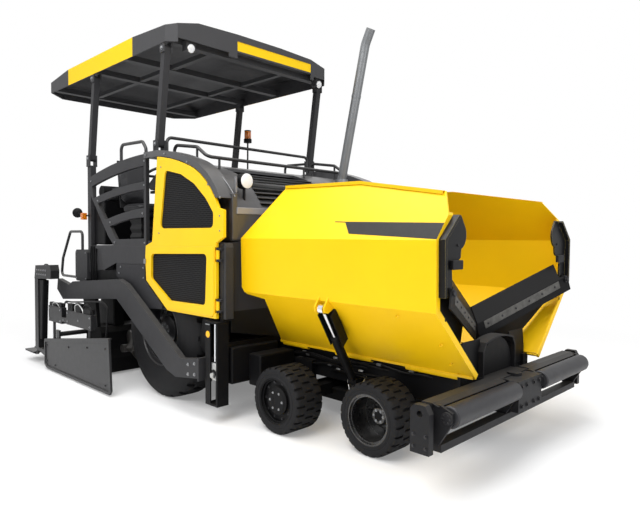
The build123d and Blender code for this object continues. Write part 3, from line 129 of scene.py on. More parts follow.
corners = [(x * FLOOR_HALF, y * FLOOR_HALF, 0) for x, y in ((-1, -1), (1, -1), (1, 1), (-1, 1))]
floor = surface("floor", corners, [(0, 1, 2, 3)])
floor_paint, tree, place = material("seamless_floor")
rays = add(tree, "LightPath")
away = add(tree, "VectorMath", {"operation": "LENGTH"}, links={0: place})
fade = add(tree, "MapRange", {"interpolation_type": "SMOOTHSTEP"},
           {"From Min": FLOOR_NEAR, "From Max": FLOOR_FAR, "To Min": FLOOR_GLOW},
           {"Value": away.outputs["Value"]})
fade = add(tree, "Math", {"operation": "MULTIPLY"}, links={0: fade, 1: rays.outputs["Is Camera Ray"]})
matt = add(tree, "BsdfDiffuse", values={"Color": "#F7F7F7"})
white = add(tree, "Emission", values={"Color": "#FFFFFF", "Strength": 1.0})
either = add(tree, "MixShader", links={0: fade, 1: matt, 2: white})
add(tree, "OutputMaterial", links={"Surface": either})
floor.data.materials.append(floor_paint)

world = bpy.data.worlds.new("studio")
bpy.context.scene.world = world
tree = blank(world)
rays = add(tree, "LightPath")
seen = add(tree, "Math", {"operation": "MAXIMUM"},
           links={0: rays.outputs["Is Camera Ray"], 1: rays.outputs["Is Transmission Ray"]})
seen = add(tree, "Math", {"operation": "MAXIMUM"}, links={0: seen, 1: rays.outputs["Is Glossy Ray"]})
lit = add(tree, "Background", values={"Color": "#FFFFFF", "Strength": WORLD_FILL})
shown = add(tree, "Background", values={"Color": "#FFFFFF", "Strength": 1.0})
either = add(tree, "MixShader", links={0: seen, 1: lit, 2: shown})
add(tree, "OutputWorld", links={"Surface": either})

# Columns: name, place, watts, width and height, point that it faces.
LAMPS = (
    ("main_lamp", (3.2, -8.0, 8.6), 680, (7.0, 5.0), (0.3, 0.0, 1.3)),
    ("front_lamp", (10.5, 0.5, 5.5), 300, (5.0, 5.0), (1.5, 0.0, 1.2)),
    ("top_lamp", (0.0, -1.5, 10.5), 980, (9.0, 7.0), (0.3, 0.0, 0.0)),
)
for name, at, watts, (width, height), aim in LAMPS:
    lamp = bpy.data.lights.new(name, "AREA")
    lamp.shape = "RECTANGLE"
    lamp.size = width
    lamp.size_y = height
    lamp.energy = watts
    holder = bpy.data.objects.new(name, lamp)
    bpy.context.scene.collection.objects.link(holder)
    holder.location = at
    toward = np.array(aim) - np.array(at)
    flat = math.hypot(toward[0], toward[1])
    holder.rotation_euler = (math.atan2(flat, -toward[2]), 0, math.atan2(-toward[0], toward[1]))

# Main frame: two cut steel side plates with their cross members and hinge pins, welded and spray
# painted black. The enamel is satin, a little uneven, rubbed lighter on its edges and dusty on top.
STEEL_EDGE = 0.003
PEEL_M = 0.006
PATCH_M = 0.35
WEAR_PER_M = 14.0
DUST = "#8C8880"


def inside(tree, place, low, high):
    """1 where an object point, in millimetres, lies between two corners of a box, and 0 elsewhere."""
    axes = add(tree, "SeparateXYZ", links={0: place})
    held = None
    for axis, (least, most) in enumerate(zip(low, high)):
        middle = (least + most) / 2 * MM
        near = add(tree, "Math", {"operation": "COMPARE"}, {1: middle, 2: (most - least) / 2 * MM},
                   {0: axes.outputs[axis]})
        if held:
            near = add(tree, "Math", {"operation": "MULTIPLY"}, links={0: held, 1: near})
        held = near
    return held


def enamel(name, face, shade, edge, rough=0.42, coat=0.1, gloss=0.35, edge_at=0.9, dust_part=0.12, areas=()):
    """Sprayed enamel on steel: two tones in soft patches, an orange-peel surface and rubbed edges.

    An edge is where the normal of a rounded corner leaves the flat one; dust settles on faces that look up.
    Areas are boxes, in millimetres, that are sprayed in another colour: low corner, high corner, colour."""
    made, tree, place = material(name)
    patch = add(tree, "TexNoise", values={"Scale": 1 / PATCH_M, "Detail": 3.0, "Roughness": 0.55},
                links={"Vector": place})
    tone = add(tree, "MixRGB", values={"Color1": face, "Color2": shade}, links={"Fac": patch.outputs["Fac"]})
    for low, high, other in areas:
        tone = add(tree, "MixRGB", values={"Color2": other},
                   links={"Fac": inside(tree, place, low, high), "Color1": tone})
    normal = add(tree, "NewGeometry")
    round_edge = add(tree, "Bevel", {"samples": 4}, {"Radius": STEEL_EDGE})
    lean = add(tree, "VectorMath", {"operation": "DOT_PRODUCT"},
               links={0: round_edge, 1: normal.outputs["Normal"]})
    grain = add(tree, "TexNoise", values={"Scale": WEAR_PER_M, "Detail": 6.0, "Roughness": 0.7},
                links={"Vector": place})
    limit = add(tree, "Math", {"operation": "MULTIPLY_ADD"}, {1: 0.3, 2: edge_at - 0.15},
                links={0: grain.outputs["Fac"]})
    worn = add(tree, "Math", {"operation": "LESS_THAN"}, links={0: lean.outputs["Value"], 1: limit})
    worn = add(tree, "Math", {"operation": "MULTIPLY"}, {1: 0.45}, {0: worn})
    rubbed = add(tree, "MixRGB", values={"Color2": edge}, links={"Fac": worn, "Color1": tone})
    up = add(tree, "SeparateXYZ", links={0: normal.outputs["Normal"]})
    settled = add(tree, "Math", {"operation": "MULTIPLY", "use_clamp": True},
                  links={0: up.outputs["Z"], 1: grain.outputs["Fac"]})
    settled = add(tree, "Math", {"operation": "MULTIPLY"}, {1: dust_part * 2}, {0: settled})
    dusty = add(tree, "MixRGB", values={"Color2": DUST}, links={"Fac": settled, "Color1": rubbed})
    peel = add(tree, "TexNoise", values={"Scale": 1 / PEEL_M, "Detail": 1.0}, links={"Vector": place})
    bump = add(tree, "Bump", values={"Strength": 0.05, "Distance": 0.001},
               links={"Height": peel.outputs["Fac"], "Normal": round_edge})
    shine = add(tree, "Math", {"operation": "MULTIPLY_ADD"}, {1: 0.16, 2: rough - 0.08},
                links={0: grain.outputs["Fac"]})
    paint = add(tree, "BsdfPrincipled",
                values={"Coat Weight": coat, "Coat Roughness": 0.15, "Specular IOR Level": gloss},
                links={"Base Color": dusty, "Roughness": shine, "Normal": bump})
    add(tree, "OutputMaterial", links={"Surface": paint})
    return made


def dress(finish, *names):
    """Gives every material slot of the named CAD nodes one finish."""
    for name in names:
        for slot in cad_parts[name].material_slots:
            slot.material = finish


def fit(piece, finish, body="chassis"):
    """Gives a new piece its finish and the body that it rides on."""
    piece.data.materials.append(finish)
    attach(piece, body)


def skin(name, rows, loop_u=False, loop_v=False, ends=False, smooth=30):
    """A skin over a grid of points in millimetres, rows along u and places in a row along v.

    Each face joins four neighbours. A looped direction joins its last line to its first, and the first and
    last rows may be closed by a flat end."""
    rows = np.asarray(rows, float)
    count, width = rows.shape[:2]
    u = np.arange(count if loop_u else count - 1)
    v = np.arange(width if loop_v else width - 1)
    a, b = np.meshgrid(u, v, indexing="ij")
    c = (a + 1) % count
    d = (b + 1) % width
    faces = np.stack([a * width + b, c * width + b, c * width + d, a * width + d], -1).reshape(-1, 4).tolist()
    if ends:
        faces.append(list(range(width)))
        faces.append(list(range((count - 1) * width, count * width)))
    return surface(name, rows * MM, faces, smooth)


def prism(name, rows):
    """A sharp-edged bar with flat ends, from rows of its cross-section's corners."""
    return skin(name, rows, loop_v=True, ends=True, smooth=0)


def unit(vectors):
    """Vectors divided by their lengths."""
    vectors = np.asarray(vectors, float)
    return vectors / np.linalg.norm(vectors, axis=-1, keepdims=True)


BEND_STEPS = 6


def tube(name, points, radius, bend, sides=12):
    """A round bar or pipe through points in millimetres.

    Each corner c becomes the curve (1-t)^2 a + 2t(1-t) c + t^2 b, where a and b lie a bend's length before
    and after it. A circle of the radius lies across the path's direction, spanned by two of its normals."""
    points = np.array(points, float)
    corner = points[1:-1]
    before = corner + unit(points[:-2] - corner) * bend
    after = corner + unit(points[2:] - corner) * bend
    t = np.linspace(0, 1, BEND_STEPS)[:, None, None]
    curve = (1 - t) ** 2 * before + 2 * t * (1 - t) * corner + t ** 2 * after
    path = np.concatenate([points[:1], curve.transpose(1, 0, 2).reshape(-1, 3), points[-1:]])
    way = unit(np.gradient(path, axis=0))
    other = np.eye(3)[np.abs(way).max(0).argmin()]
    side = unit(np.cross(way, other))
    rise = np.cross(side, way)
    angle = np.linspace(0, 2 * math.pi, sides, endpoint=False)[None, :, None]
    rows = path[:, None] + radius * (np.cos(angle) * side[:, None] + np.sin(angle) * rise[:, None])
    return skin(name, rows, loop_v=True, ends=True, smooth=50)


def plate(name, outline, low, high, across="Y", edge=2):
    """A flat plate: an outline in millimetres, drawn across an axis, carried along it from low to high.

    The outline's pairs are (x, z) across Y and (y, z) across X. Its edges are bevelled."""
    outline = np.array(outline, float)
    order = {"X": (2, 0, 1), "Y": (0, 2, 1)}[across]
    rows = [np.column_stack([outline, np.full(len(outline), at)])[:, order] for at in sorted((low, high))]
    made = prism(name, rows)
    bevel = made.modifiers.new("edge", "BEVEL")
    bevel.width = edge * MM
    bevel.segments = 2
    bevel.limit_method = "ANGLE"
    return made


def box(name, low, high, edge):
    """A block between two corners in millimetres, with bevelled edges."""
    (x0, y0, z0), (x1, y1, z1) = low, high
    return plate(name, ((x0, z0), (x1, z0), (x1, z1), (x0, z1)), y0, y1, edge=edge)


# The black shows as one flat near-black, a little lighter where an edge is rubbed.
black_enamel = enamel("black_enamel", "#101012", "#0C0C0D", "#29292B", rough=0.5, coat=0.0, gloss=0.12,
                      dust_part=0.03)
RUB_PER_M = 18.0


def metal(name, face, shade, rough, scratch=0.3, streak=(1, 1, 1), metallic=1.0):
    """Bare or plated steel: two tones along a stretched noise, whose streaks also roughen it."""
    made, tree, place = material(name)
    spread = add(tree, "Mapping", {"vector_type": "POINT"}, {"Scale": streak}, {"Vector": place})
    rub = add(tree, "TexNoise", values={"Scale": RUB_PER_M, "Detail": 7.0, "Roughness": 0.65},
              links={"Vector": spread})
    tone = add(tree, "MixRGB", values={"Color1": face, "Color2": shade}, links={"Fac": rub.outputs["Fac"]})
    dull = add(tree, "Math", {"operation": "MULTIPLY_ADD"}, {1: scratch, 2: rough - scratch / 2},
               {0: rub.outputs["Fac"]})
    bump = add(tree, "Bump", values={"Strength": 0.1, "Distance": 0.001},
               links={"Height": rub.outputs["Fac"]})
    steel = add(tree, "BsdfPrincipled", values={"Metallic": metallic},
                links={"Base Color": tone, "Roughness": dull, "Normal": bump})
    add(tree, "OutputMaterial", links={"Surface": steel})
    return made


# Zinc plate on nuts and bolts is pale and soft; steel left as machined catches long streaks of light.
zinc_steel = metal("zinc_plated_steel", "#A9AAAC", "#7F8184", 0.4, 0.2)
bright_steel = metal("machined_steel", "#D0D1D0", "#8C8D8C", 0.38, 0.25)
dress(black_enamel, "main_frame")
SIDES = (("right", -1), ("left", 1))


def pair(make, name, finish, *shape, slot="black_paint", body="chassis", **sizes):
    """Makes a piece for each side from the left one's shape. An asterisk in a name stands for the side.

    On the right the y of points and directions changes its sign, and so does a single number, which is
    a y. Pairs are (x, z) and stay."""
    for side, sign in SIDES:
        flip = {(): sign, (2,): 1, (3,): (1, sign, 1)}
        placed = [np.array(part, float) * flip[np.shape(part)[-1:]] for part in shape]
        fit(make(name.replace("*", side), *placed, **sizes), finish, body.replace("*", side))


# Steel pipes clipped along the frame's sides, above the small wheels, each with three sleeve nuts.
# Columns: height, reach, rear x, front x, sag.
PIPE_RUNS = ((548, 502, 700, 2050, 10), (566, 514, 1150, 2280, -16), (500, 508, 1100, 2200, 22),
             (470, 516, 1620, 2440, -8), (584, 500, 1700, 2700, 14))
PLATE_Y = 476
for i, (z, y, x0, x1, sag) in enumerate(PIPE_RUNS):
    path = ((x0, PLATE_Y, z - 20), (x0 + 60, y, z), ((3 * x0 + x1) / 4, y + 8, z - sag),
            ((x0 + x1) / 2, y, z + sag), ((x0 + 3 * x1) / 4, y + 10, z - sag), (x1 - 60, y, z),
            (x1, PLATE_Y, z - 16))
    pair(tube, f"frame_pipe_*_{i}", black_enamel, path, radius=9, bend=60)
    for k, part in enumerate((0.12, 0.47, 0.8)):
        x = x0 + (x1 - x0) * part
        sleeve = ((x, 500, z + 9), (x + 22, 502, z + 9), (x + 44, 500, z + 9))
        pair(tube, f"pipe_nut_*_{i}_{k}", zinc_steel, sleeve, slot="chrome_rod", radius=13, bend=5, sides=6)
loop = ((1900, 500, 470), (1900, 560, 430), (1950, 590, 340), (2020, 590, 340), (2060, 560, 420),
        (2060, 500, 470))
pair(tube, "grease_pipe_*", bright_steel, loop, slot="chrome_rod", radius=6, bend=26)
# Black boxes beside the frame between the wheels and a low one under it, as painted shade: they fill with
# black where the frame lies in shade.
pair(box, "hydraulic_tank_*", black_enamel, (1046, 540, 300), (1215, 960, 590), edge=14)
pair(box, "battery_case_*", black_enamel, (700, 600, 330), (1046, 1150, 660), edge=14)
pair(box, "valve_tray_*", black_enamel, (1205, 470, 300), (1440, 540, 520), edge=10)
fit(box("shade_belly_box", (1300, -440, 172), (2600, 440, 286), 12), black_enamel)

# Conveyor: flight bars on two chains over a wear plate, all bare steel that hot mix has scoured dark.
# It carries the mix back through the tunnel to the augers.
scoured_steel = metal("scoured_steel", "#5C5B59", "#2C2B2A", 0.45, 0.4, (0.3, 1, 1))
dress(scoured_steel, "conveyor")

# Push beam and rollers: a welded box beam with two steel rollers, on which a truck's rear wheels push.
# The beam is dark enamel; the rollers are painted too, but rubbed bare in bands by the tyres.


def turned(name, profile, x, z, steps=64, closed=True):
    """A body turned about a crosswise axis at (x, z): (y, r) points carried to x + r cos t, z + r sin t."""
    y, r = np.array(profile, float).T
    t = np.linspace(0, 2 * math.pi, steps, endpoint=False)[:, None]
    rows = np.stack([x + r * np.cos(t), y + 0 * t, z + r * np.sin(t)], -1)
    return skin(name, rows, loop_u=True, loop_v=closed)


# Rows of a bolt: distance out along its axis, radius, and whether the row is a hexagon or a circle.
BOLT_ROWS = ((0, 1.5, 0), (0.2, 1.5, 0), (0.2, 1.05, 1), (0.85, 1.0, 1), (1.0, 0.85, 0))
AROUND = 12


def bolts(name, centres, facing, size):
    """Bolt heads on washers, all in one mesh: twelve points a row about each centre, whose radius goes
    between size and size cos 30 in the hexagonal rows."""
    centres = np.array(centres, float)
    facing = unit(np.array(facing, float))
    side = unit(np.cross(facing, np.eye(3)[np.abs(facing).argmin()]))
    rise = np.cross(side, facing)
    angle = np.arange(AROUND) * 2 * math.pi / AROUND
    flat = np.where(np.arange(AROUND) % 2, math.cos(math.pi / 6), 1.0)
    out, radius, hexagon = np.array(BOLT_ROWS).T
    reach = size * radius[:, None] * np.where(hexagon[:, None] > 0, flat, 1.0)
    ring = (np.cos(angle)[:, None] * side + np.sin(angle)[:, None] * rise)[None] * reach[..., None]
    ring = ring + (out * size)[:, None, None] * facing
    points = (centres[:, None, None] + ring[None]).reshape(-1, 3)
    rows = len(BOLT_ROWS)
    a, b = np.meshgrid(np.arange(rows - 1), np.arange(AROUND), indexing="ij")
    c = (b + 1) % AROUND
    quads = np.stack([a * AROUND + b, a * AROUND + c, (a + 1) * AROUND + c, (a + 1) * AROUND + b], -1)
    faces = []
    for start in range(0, len(centres) * rows * AROUND, rows * AROUND):
        faces += (quads.reshape(-1, 4) + start).tolist()
        faces.append(list(range(start, start + AROUND)))
        faces.append(list(range(start + (rows - 1) * AROUND, start + rows * AROUND)))
    return surface(name, points * MM, faces)


def side_bolts(name, finish, y, places, size, **where):
    """Bolts on both sides that face outwards, in a plane at y, at (x, z) places."""
    pair(bolts, name, finish, [(x, y, z) for x, z in places], (0, 1, 0), size=size, **where)


def front_bolts(name, finish, x, places, size, **where):
    """Bolts on both sides that face forwards, in a plane at x, at (y, z) places."""
    pair(bolts, name, finish, [(x, y, z) for y, z in places], (1, 0, 0), size=size, **where)


def bolt_circle(name, x, y, z, radius, count, size):
    """Bolts that face outwards, evenly round a crosswise axis: x + r cos t, z + r sin t."""
    t = np.arange(count) * 2 * math.pi / count
    ring = np.stack([x + radius * np.cos(t), np.full(count, float(y)), z + radius * np.sin(t)], 1)
    return bolts(name, ring, (0, math.copysign(1, y), 0), size)


beam_enamel = enamel("beam_enamel", "#1F1F21", "#1A1A1C", "#444446", rough=0.5, coat=0.0, gloss=0.15,
                     dust_part=0.08)
dress(beam_enamel, "push_beam")
rubbed_steel = metal("rubbed_steel", "#2F2F32", "#202023", 0.5, 0.2, (0.6, 0.25, 0.6), 0.3)
dress(rubbed_steel, "push_roller_left", "push_roller_right")
dark_steel = metal("phosphated_steel", "#4A4A4C", "#333335", 0.5, 0.2)
ROLLER_X = 3233
ROLLER_Z = 529
CAP_FACE_Y = 1148
# The roller's end cap, (y, r), bolted over its pin, and the seal plate, (y, z), that closes the conveyor's
# mouth up to the wing's hinge.
CAP = np.array(((1133, 0), (1133, 40), (1145, 40), (CAP_FACE_Y, 34), (CAP_FACE_Y, 0)))
SEAL = np.array(((240, 602), (528, 602), (528, 720), (500, 880), (240, 880)))
for side, sign in SIDES:
    fit(turned(f"roller_cap_{side}", CAP * (sign, 1), ROLLER_X, ROLLER_Z, 32, closed=False), beam_enamel)
    fit(bolt_circle(f"roller_cap_bolts_{side}", ROLLER_X, sign * CAP_FACE_Y, ROLLER_Z, 26, 6, 5), dark_steel)
    fit(plate(f"mouth_seal_{side}", SEAL * (sign, 1), 2952, 2964, "X", 3), black_enamel)
side_bolts("end_plate_bolts_*", dark_steel, 1250, ((3060, 345), (3150, 345), (3060, 420), (3150, 420)), 9)
# The beam's cover plate, which reaches over the back of the roller.
cover = ((3052, 601), (3128, 601), (3176, 586), (3179, 592), (3130, 607), (3052, 607))
pair(plate, "beam_cover_*", beam_enamel, cover, 232, 1148, edge=1)
front_bolts("beam_bolts_*", beam_enamel, 3130, ((290, 470), (290, 570), (1060, 470), (1060, 570)), 13)
pivot = [(3260, y, z) for y in (-60, -150, 60, 150) for z in (400, 550)]
fit(bolts("pivot_block_bolts", pivot, (1, 0, 0), 14), beam_enamel)
# A dished plate closes the arch of the chain cover between its legs.
t = np.linspace(0, math.pi, 24)
arch = np.concatenate([[(-248, 592), (248, 592)], np.stack([248 * np.cos(t), 640 + 228 * np.sin(t)], 1)])
fit(plate("chain_cover_plate", arch, 2972, 2980, "X", 2), black_enamel)

# Hopper wings: steel plate folded to three flats and sprayed gloss yellow, with an arm at the front that
# is black. A plain dark stripe runs along the upper flat, and bolts hold the arm and the wear edge.
YELLOW = "#F7C80C"
yellow_enamel = enamel("yellow_enamel", YELLOW, "#F0C00A", "#FFE680", rough=0.38, coat=0.05, gloss=0.28,
                       dust_part=0.0)
# The wings take hard use, so their yellow is a little duller; all in front of their flange is black.
wing_enamel = enamel("wing_enamel", YELLOW, "#F0C00A", "#FFE680", rough=0.4, coat=0.0, gloss=0.2,
                     dust_part=0.0, areas=[((3095.5, -2000, 600), (3400, 2000, 2400), "#0E0E10")])
dress(wing_enamel, "hopper_wing_left", "hopper_wing_right")
# The upper flat climbs from y 1070, z 1635 to y 670, z 2115. The stripe's corners on it are (x, z).
FLAT_Y = 1070
FLAT_Z = 1635
FLAT_FALL = 400 / 480
FLAT_OUT = np.array((0, 0.768, 0.64))
STRIPE = ((2318, 1676), (3094, 1641), (3094, 1748), (2240, 1768), (2110, 1772), (2110, 1766), (2222, 1762))
stripe = np.array([(x, FLAT_Y - (z - FLAT_Z) * FLAT_FALL, z) for x, z in STRIPE])
pair(prism, "wing_stripe_*", beam_enamel, [stripe + FLAT_OUT * out for out in (0.2, 1.2)], body="wing_*")
front_bolts("arm_bolts_*", dark_steel, 3109, ((860, 1740), (985, 1500), (985, 1345), (830, 1600)), 9,
            body="wing_*")
front_bolts("flap_pin_nut_*", dark_steel, 3150, ((950, 1290),), 20, body="wing_*")
# A stub on the arm that the flap's bar comes to rest under.
pair(box, "arm_stub_*", beam_enamel, (3111, 802, 1440), (3137, 930, 1502), edge=4, body="wing_*")
# Drain holes in the front flange, and small hooks that stand near the lower flat's front edge.
t = np.linspace(0, 2 * math.pi, 20, endpoint=False)
# The drain holes are thin black discs on the flange, painted shade inside the holes.
for i, (y, z, tall) in enumerate(((993, 1179, 24), (948, 1110, 13))):
    rows = [np.stack([np.full(20, x), y + 9 * np.cos(t), z + tall * np.sin(t)], 1) for x in (3095.2, 3095.8)]
    pair(prism, f"flange_hole_*_{i}", black_enamel, rows, body="wing_*")
for i, (x, y) in enumerate(((2990, 815), (2975, 655), (2760, 1010))):
    z = 640 + (y - 536) * 520 / 524
    hook = ((x - 14, y + 2, z - 2), (x - 12, y + 16, z - 14), (x + 12, y + 20, z - 10),
            (x + 14, y + 28, z + 6))
    pair(tube, f"wing_hook_*_{i}", yellow_enamel, hook, slot="yellow_paint", body="wing_*", radius=4, bend=8,
         sides=8)
# The upper edge is turned outwards and down, which stiffens it.
top = np.array(((1255, 2113), (2155, 2097), (2980, 1972)), float)
lip = np.array(((-2, 3), (34, 3), (30, -24), (26, -24), (29, -2), (0, -2)), float)
y = FLAT_Y - (top[:, 1:] - FLAT_Z) * FLAT_FALL
rows = np.stack([top[:, :1] + 0 * lip[:, 0], y + lip[:, 0], top[:, 1:] + lip[:, 1]], -1)
pair(prism, "wing_top_lip_*", yellow_enamel, rows, slot="yellow_paint", body="wing_*")
# A folded lip that covers the hinge's knuckles along the wing's lower edge.
lip = ((538, 672), (556, 653), (554, 641), (560, 641), (562, 655), (545, 679))
rows = [[(x, y, z) for y, z in lip] for x in (1034, 3083)]
pair(prism, "wing_lip_*", yellow_enamel, rows, slot="yellow_paint", body="wing_*")

# Front flaps: a folded bar on each arm that closes the hopper's front, black below the fold and above it,
# with a strip of bare worn steel bolted along the fold. A rubber skirt behind it is fast to the wing.
dress(black_enamel, "apron_flap_left", "apron_flap_right")
worn_strip = metal("worn_strip", "#6A6966", "#1C1B1A", 0.55, 0.4, (0.5, 1, 1), 0.4)
# Rubber is near black and chalky in patches where it has rubbed and dried, with a fine pebble grain.
CHALK_PER_M = 9.0
PEBBLE_PER_M = 450.0
tyre_rubber, tree, place = material("tyre_rubber")
patch = add(tree, "TexNoise", values={"Scale": CHALK_PER_M, "Detail": 6.0, "Roughness": 0.6},
            links={"Vector": place})
tone = add(tree, "MixRGB", values={"Color1": "#19191B", "Color2": "#0F0F11"},
           links={"Fac": patch.outputs["Fac"]})
grain = add(tree, "TexNoise", values={"Scale": PEBBLE_PER_M, "Detail": 2.0}, links={"Vector": place})
bump = add(tree, "Bump", values={"Strength": 0.25, "Distance": 0.0008},
           links={"Height": grain.outputs["Fac"]})
rubber = add(tree, "BsdfPrincipled", values={"Roughness": 0.75, "Specular IOR Level": 0.25},
             links={"Base Color": tone, "Normal": bump})
add(tree, "OutputMaterial", links={"Surface": rubber})
FLAP_PIN = np.array((3141.0, 950.0, 1290.0))
FLAP_END = np.array((2800.0, 12.0, 930.0))
flap_way = unit(FLAP_END - FLAP_PIN)
flap_up = unit(np.array((0.0, 0.0, 1.0)) - flap_way * flap_way[2])
flap_out = np.cross(flap_up, flap_way)
span = np.linspace(90, 990, 24)[:, None, None]
section = np.array(((6.2, -52), (9.0, -50), (9.0, 12), (6.2, 14)))
rows = FLAP_PIN + flap_way * span + (flap_out * section[:, :1] + flap_up * section[:, 1:])[None]
pair(prism, "flap_strip_*", worn_strip, rows, slot="bare_steel", body="flap_*")
centres = FLAP_PIN + flap_way * np.arange(150, 970, 160)[:, None] + flap_out * 9 - flap_up * 20
pair(bolts, "flap_bolts_*", dark_steel, centres, flap_out, slot="bare_steel", body="flap_*", size=7)
# The skirt lies on a cone round the bar's pin, a little way behind the bar's own sweep: x falls with the
# distance from the pin as fast as the bar's does. It ends short of the wing's lower flat.
SKIRT_BACK = 88
SKIRT_FRONT = 3070
SKIRT_THICK = 8
y = 900 - 780 * np.linspace(0, 1, 16)
bar_z = FLAP_PIN[2] + (y - FLAP_PIN[1]) * flap_way[2] / flap_way[1]
floor_z = np.interp(y, (120, 250, 470, 620, 1060), (700, 712, 728, 775, 1215))
z = np.stack([bar_z + 50, (bar_z + floor_z) / 2, floor_z], 1)
y = y[:, None] + 0 * z
from_pin = np.hypot(y - FLAP_PIN[1], z - FLAP_PIN[2])
x = FLAP_PIN[0] - SKIRT_BACK - from_pin * abs(flap_way[0]) / math.hypot(flap_way[1], flap_way[2])
face = np.stack([np.minimum(x, SKIRT_FRONT), y, z], -1)
rows = np.concatenate([face, face[:, ::-1] - (SKIRT_THICK, 0, 0)], 1)
pair(skin, "flap_skirt_*", tyre_rubber, rows, slot="tyre_rubber", body="wing_*", loop_v=True, ends=True)

# Wing cylinders: black barrels and hard-chromed rods, pinned to the chassis and under the wings. The
# chrome mirrors the floor. Each has a steel supply pipe along its barrel.
dress(black_enamel, "cylinder_barrel_left", "cylinder_barrel_right", "cylinder_brackets")
hard_chrome = metal("hard_chrome", "#E6E7EA", "#D4D6DA", 0.12, 0.05)
dress(hard_chrome, "cylinder_rod_left", "cylinder_rod_right")
LOW_EYE = np.array((1990.0, 575.0, 425.0))
TOP_EYE = np.array((2100.0, 1078.0, 1100.0))
ram_way = unit(TOP_EYE - LOW_EYE)
ram_side = unit(np.cross(ram_way, (0.0, 0.0, 1.0)))
ram_under = unit(np.cross(ram_way, ram_side))
reach = np.array((95.0, 130.0, 480.0, 510.0))[:, None]
out = np.array((30.0, 46.0, 46.0, 30.0))[:, None]
path = LOW_EYE + ram_way * reach - ram_side * out
pair(tube, "ram_pipe_*", black_enamel, path, body="barrel_*", radius=7, bend=14)
gland = LOW_EYE + ram_way * np.array((505.0, 525.0, 545.0))[:, None]
pair(tube, "ram_gland_*", black_enamel, gland, body="barrel_*", radius=38, bend=8, sides=24)
# A folded channel that hangs from the rod's eye and shields the ram, and slides along the barrel.
channel = np.array(((-50, 30), (-50, -58), (72, -58), (72, 34), (66, 34), (66, -52), (-44, -52), (-44, 30)))
rows = [TOP_EYE - ram_way * far + ram_side * channel[:, :1] + ram_under * channel[:, 1:] for far in (40, 370)]
pair(prism, "ram_channel_*", black_enamel, rows, body="rod_*")

# Small wheels: solid rubber tyres with staggered notches across the tread, pressed on black rims whose
# discs are bolted to hubs. The front pair is dished deep and glossy; the second pair shows its disc.
GROOVE_WALL = 1.5
PITCHES = 24


def treaded_tyre(name, profile, sign, outer, x, z, depth, groove):
    """A tyre: points at (way in from the outer face, r, row) carried round the axle. In tread row 1 or 2 the
    radius is held down to the crown less the depth wherever the angle, in pitches and shifted by half a pitch
    for row 2, is within half a groove of a whole number."""
    way_in, r, row = np.array(profile, float).T
    y = sign * (outer - way_in)
    crown = r.max()
    pitch = 2 * math.pi / PITCHES
    half = groove / crown / 2
    wall = GROOVE_WALL / crown
    marks = np.array((-half, -half + wall, 0, half - wall, half))
    place = np.concatenate([marks, marks + pitch / 2, [pitch / 4, pitch * 3 / 4]])
    angle = np.sort((np.arange(PITCHES)[:, None] * pitch + place).ravel())
    shift = np.where(row == 2, pitch / 2, 0)
    off = np.abs((angle[:, None] - shift + pitch / 2) % pitch - pitch / 2)
    cut = (off <= half - wall + 1e-9) & (row > 0)
    reach = np.where(cut, np.minimum(r, crown - depth), r)
    rows = np.stack([x + reach * np.cos(angle)[:, None], np.broadcast_to(y, reach.shape),
                     z + reach * np.sin(angle)[:, None]], -1)
    return skin(name, rows, loop_u=True, loop_v=True, smooth=35)


# The front rims' edges are painted pale grey: partly wear, partly painted highlights on the rim's and disc
# ring's ridges.
rim_gloss = enamel("rim_gloss", "#151517", "#101011", "#8A8A8C", rough=0.28, coat=0.3, gloss=0.6,
                   dust_part=0.05)
TYRE_R = 280
SOLID_TYRE = ((0, 195, 0), (0, 214, 0), (3, 217, 0), (3, 228, 0), (0, 231, 0), (0, 252, 1), (7, 270, 1),
              (20, 279, 1), (34, 280, 1), (86, 280, 1), (87.5, 280, 0), (104, 280, 0), (105.5, 280, 2),
              (194.5, 280, 2), (196, 280, 0), (212.5, 280, 0), (214, 280, 1), (266, 280, 1), (280, 279, 1),
              (293, 270, 1), (300, 252, 1), (300, 195, 0))
# The rim's gutter, (way in from the tyre's face, r), and a raised ring on its disc, (way out from it, r).
GUTTER = ((22, 190), (22, 170), (28, 168), (38, 176), (38, 190))
DISC_RING = ((-1, 108), (9, 110), (9, 116), (-1, 118))
# Columns: name, finish, axle x, outer face y, disc face y, wheel nuts' circle and count, hub face y, hub
# bolts' circle.
SMALL_WHEELS = (("front", rim_gloss, 2418, 929, 715, 128, 8, 789, 45),
                ("second", black_enamel, 1565, 1098, 1050, 155, 10, 1084, 74))
for name, finish, x, outer, disc, circle, count, hub, hub_circle in SMALL_WHEELS:
    for side, sign in SIDES:
        made = treaded_tyre(f"{name}_tread_{side}", SOLID_TYRE, sign, outer, x, TYRE_R, 16, 21)
        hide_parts(f"{name}_tyre_{side}")
        body = f"{name}_wheel_{side}"
        fit(made, tyre_rubber, body)
        nuts = bolt_circle(f"{name}_wheel_nuts_{side}", x, sign * disc, TYRE_R, circle, count, 10)
        fit(nuts, dark_steel, body)
        heads = bolt_circle(f"{name}_hub_bolts_{side}", x, sign * hub, TYRE_R, hub_circle, 6, 7)
        fit(heads, zinc_steel, body)
        gutter = [(sign * (outer - way), r) for way, r in GUTTER]
        fit(turned(f"{name}_gutter_{side}", gutter, x, TYRE_R), finish, body)
        ring = [(sign * (disc + way), r) for way, r in DISC_RING]
        fit(turned(f"{name}_disc_ring_{side}", ring, x, TYRE_R, 48), finish, body)
        dress(finish, f"{name}_rim_{side}")
        dress(black_enamel, f"{name}_knuckle_{side}")
dress(black_enamel, "bogie_frame", "rear_axle")

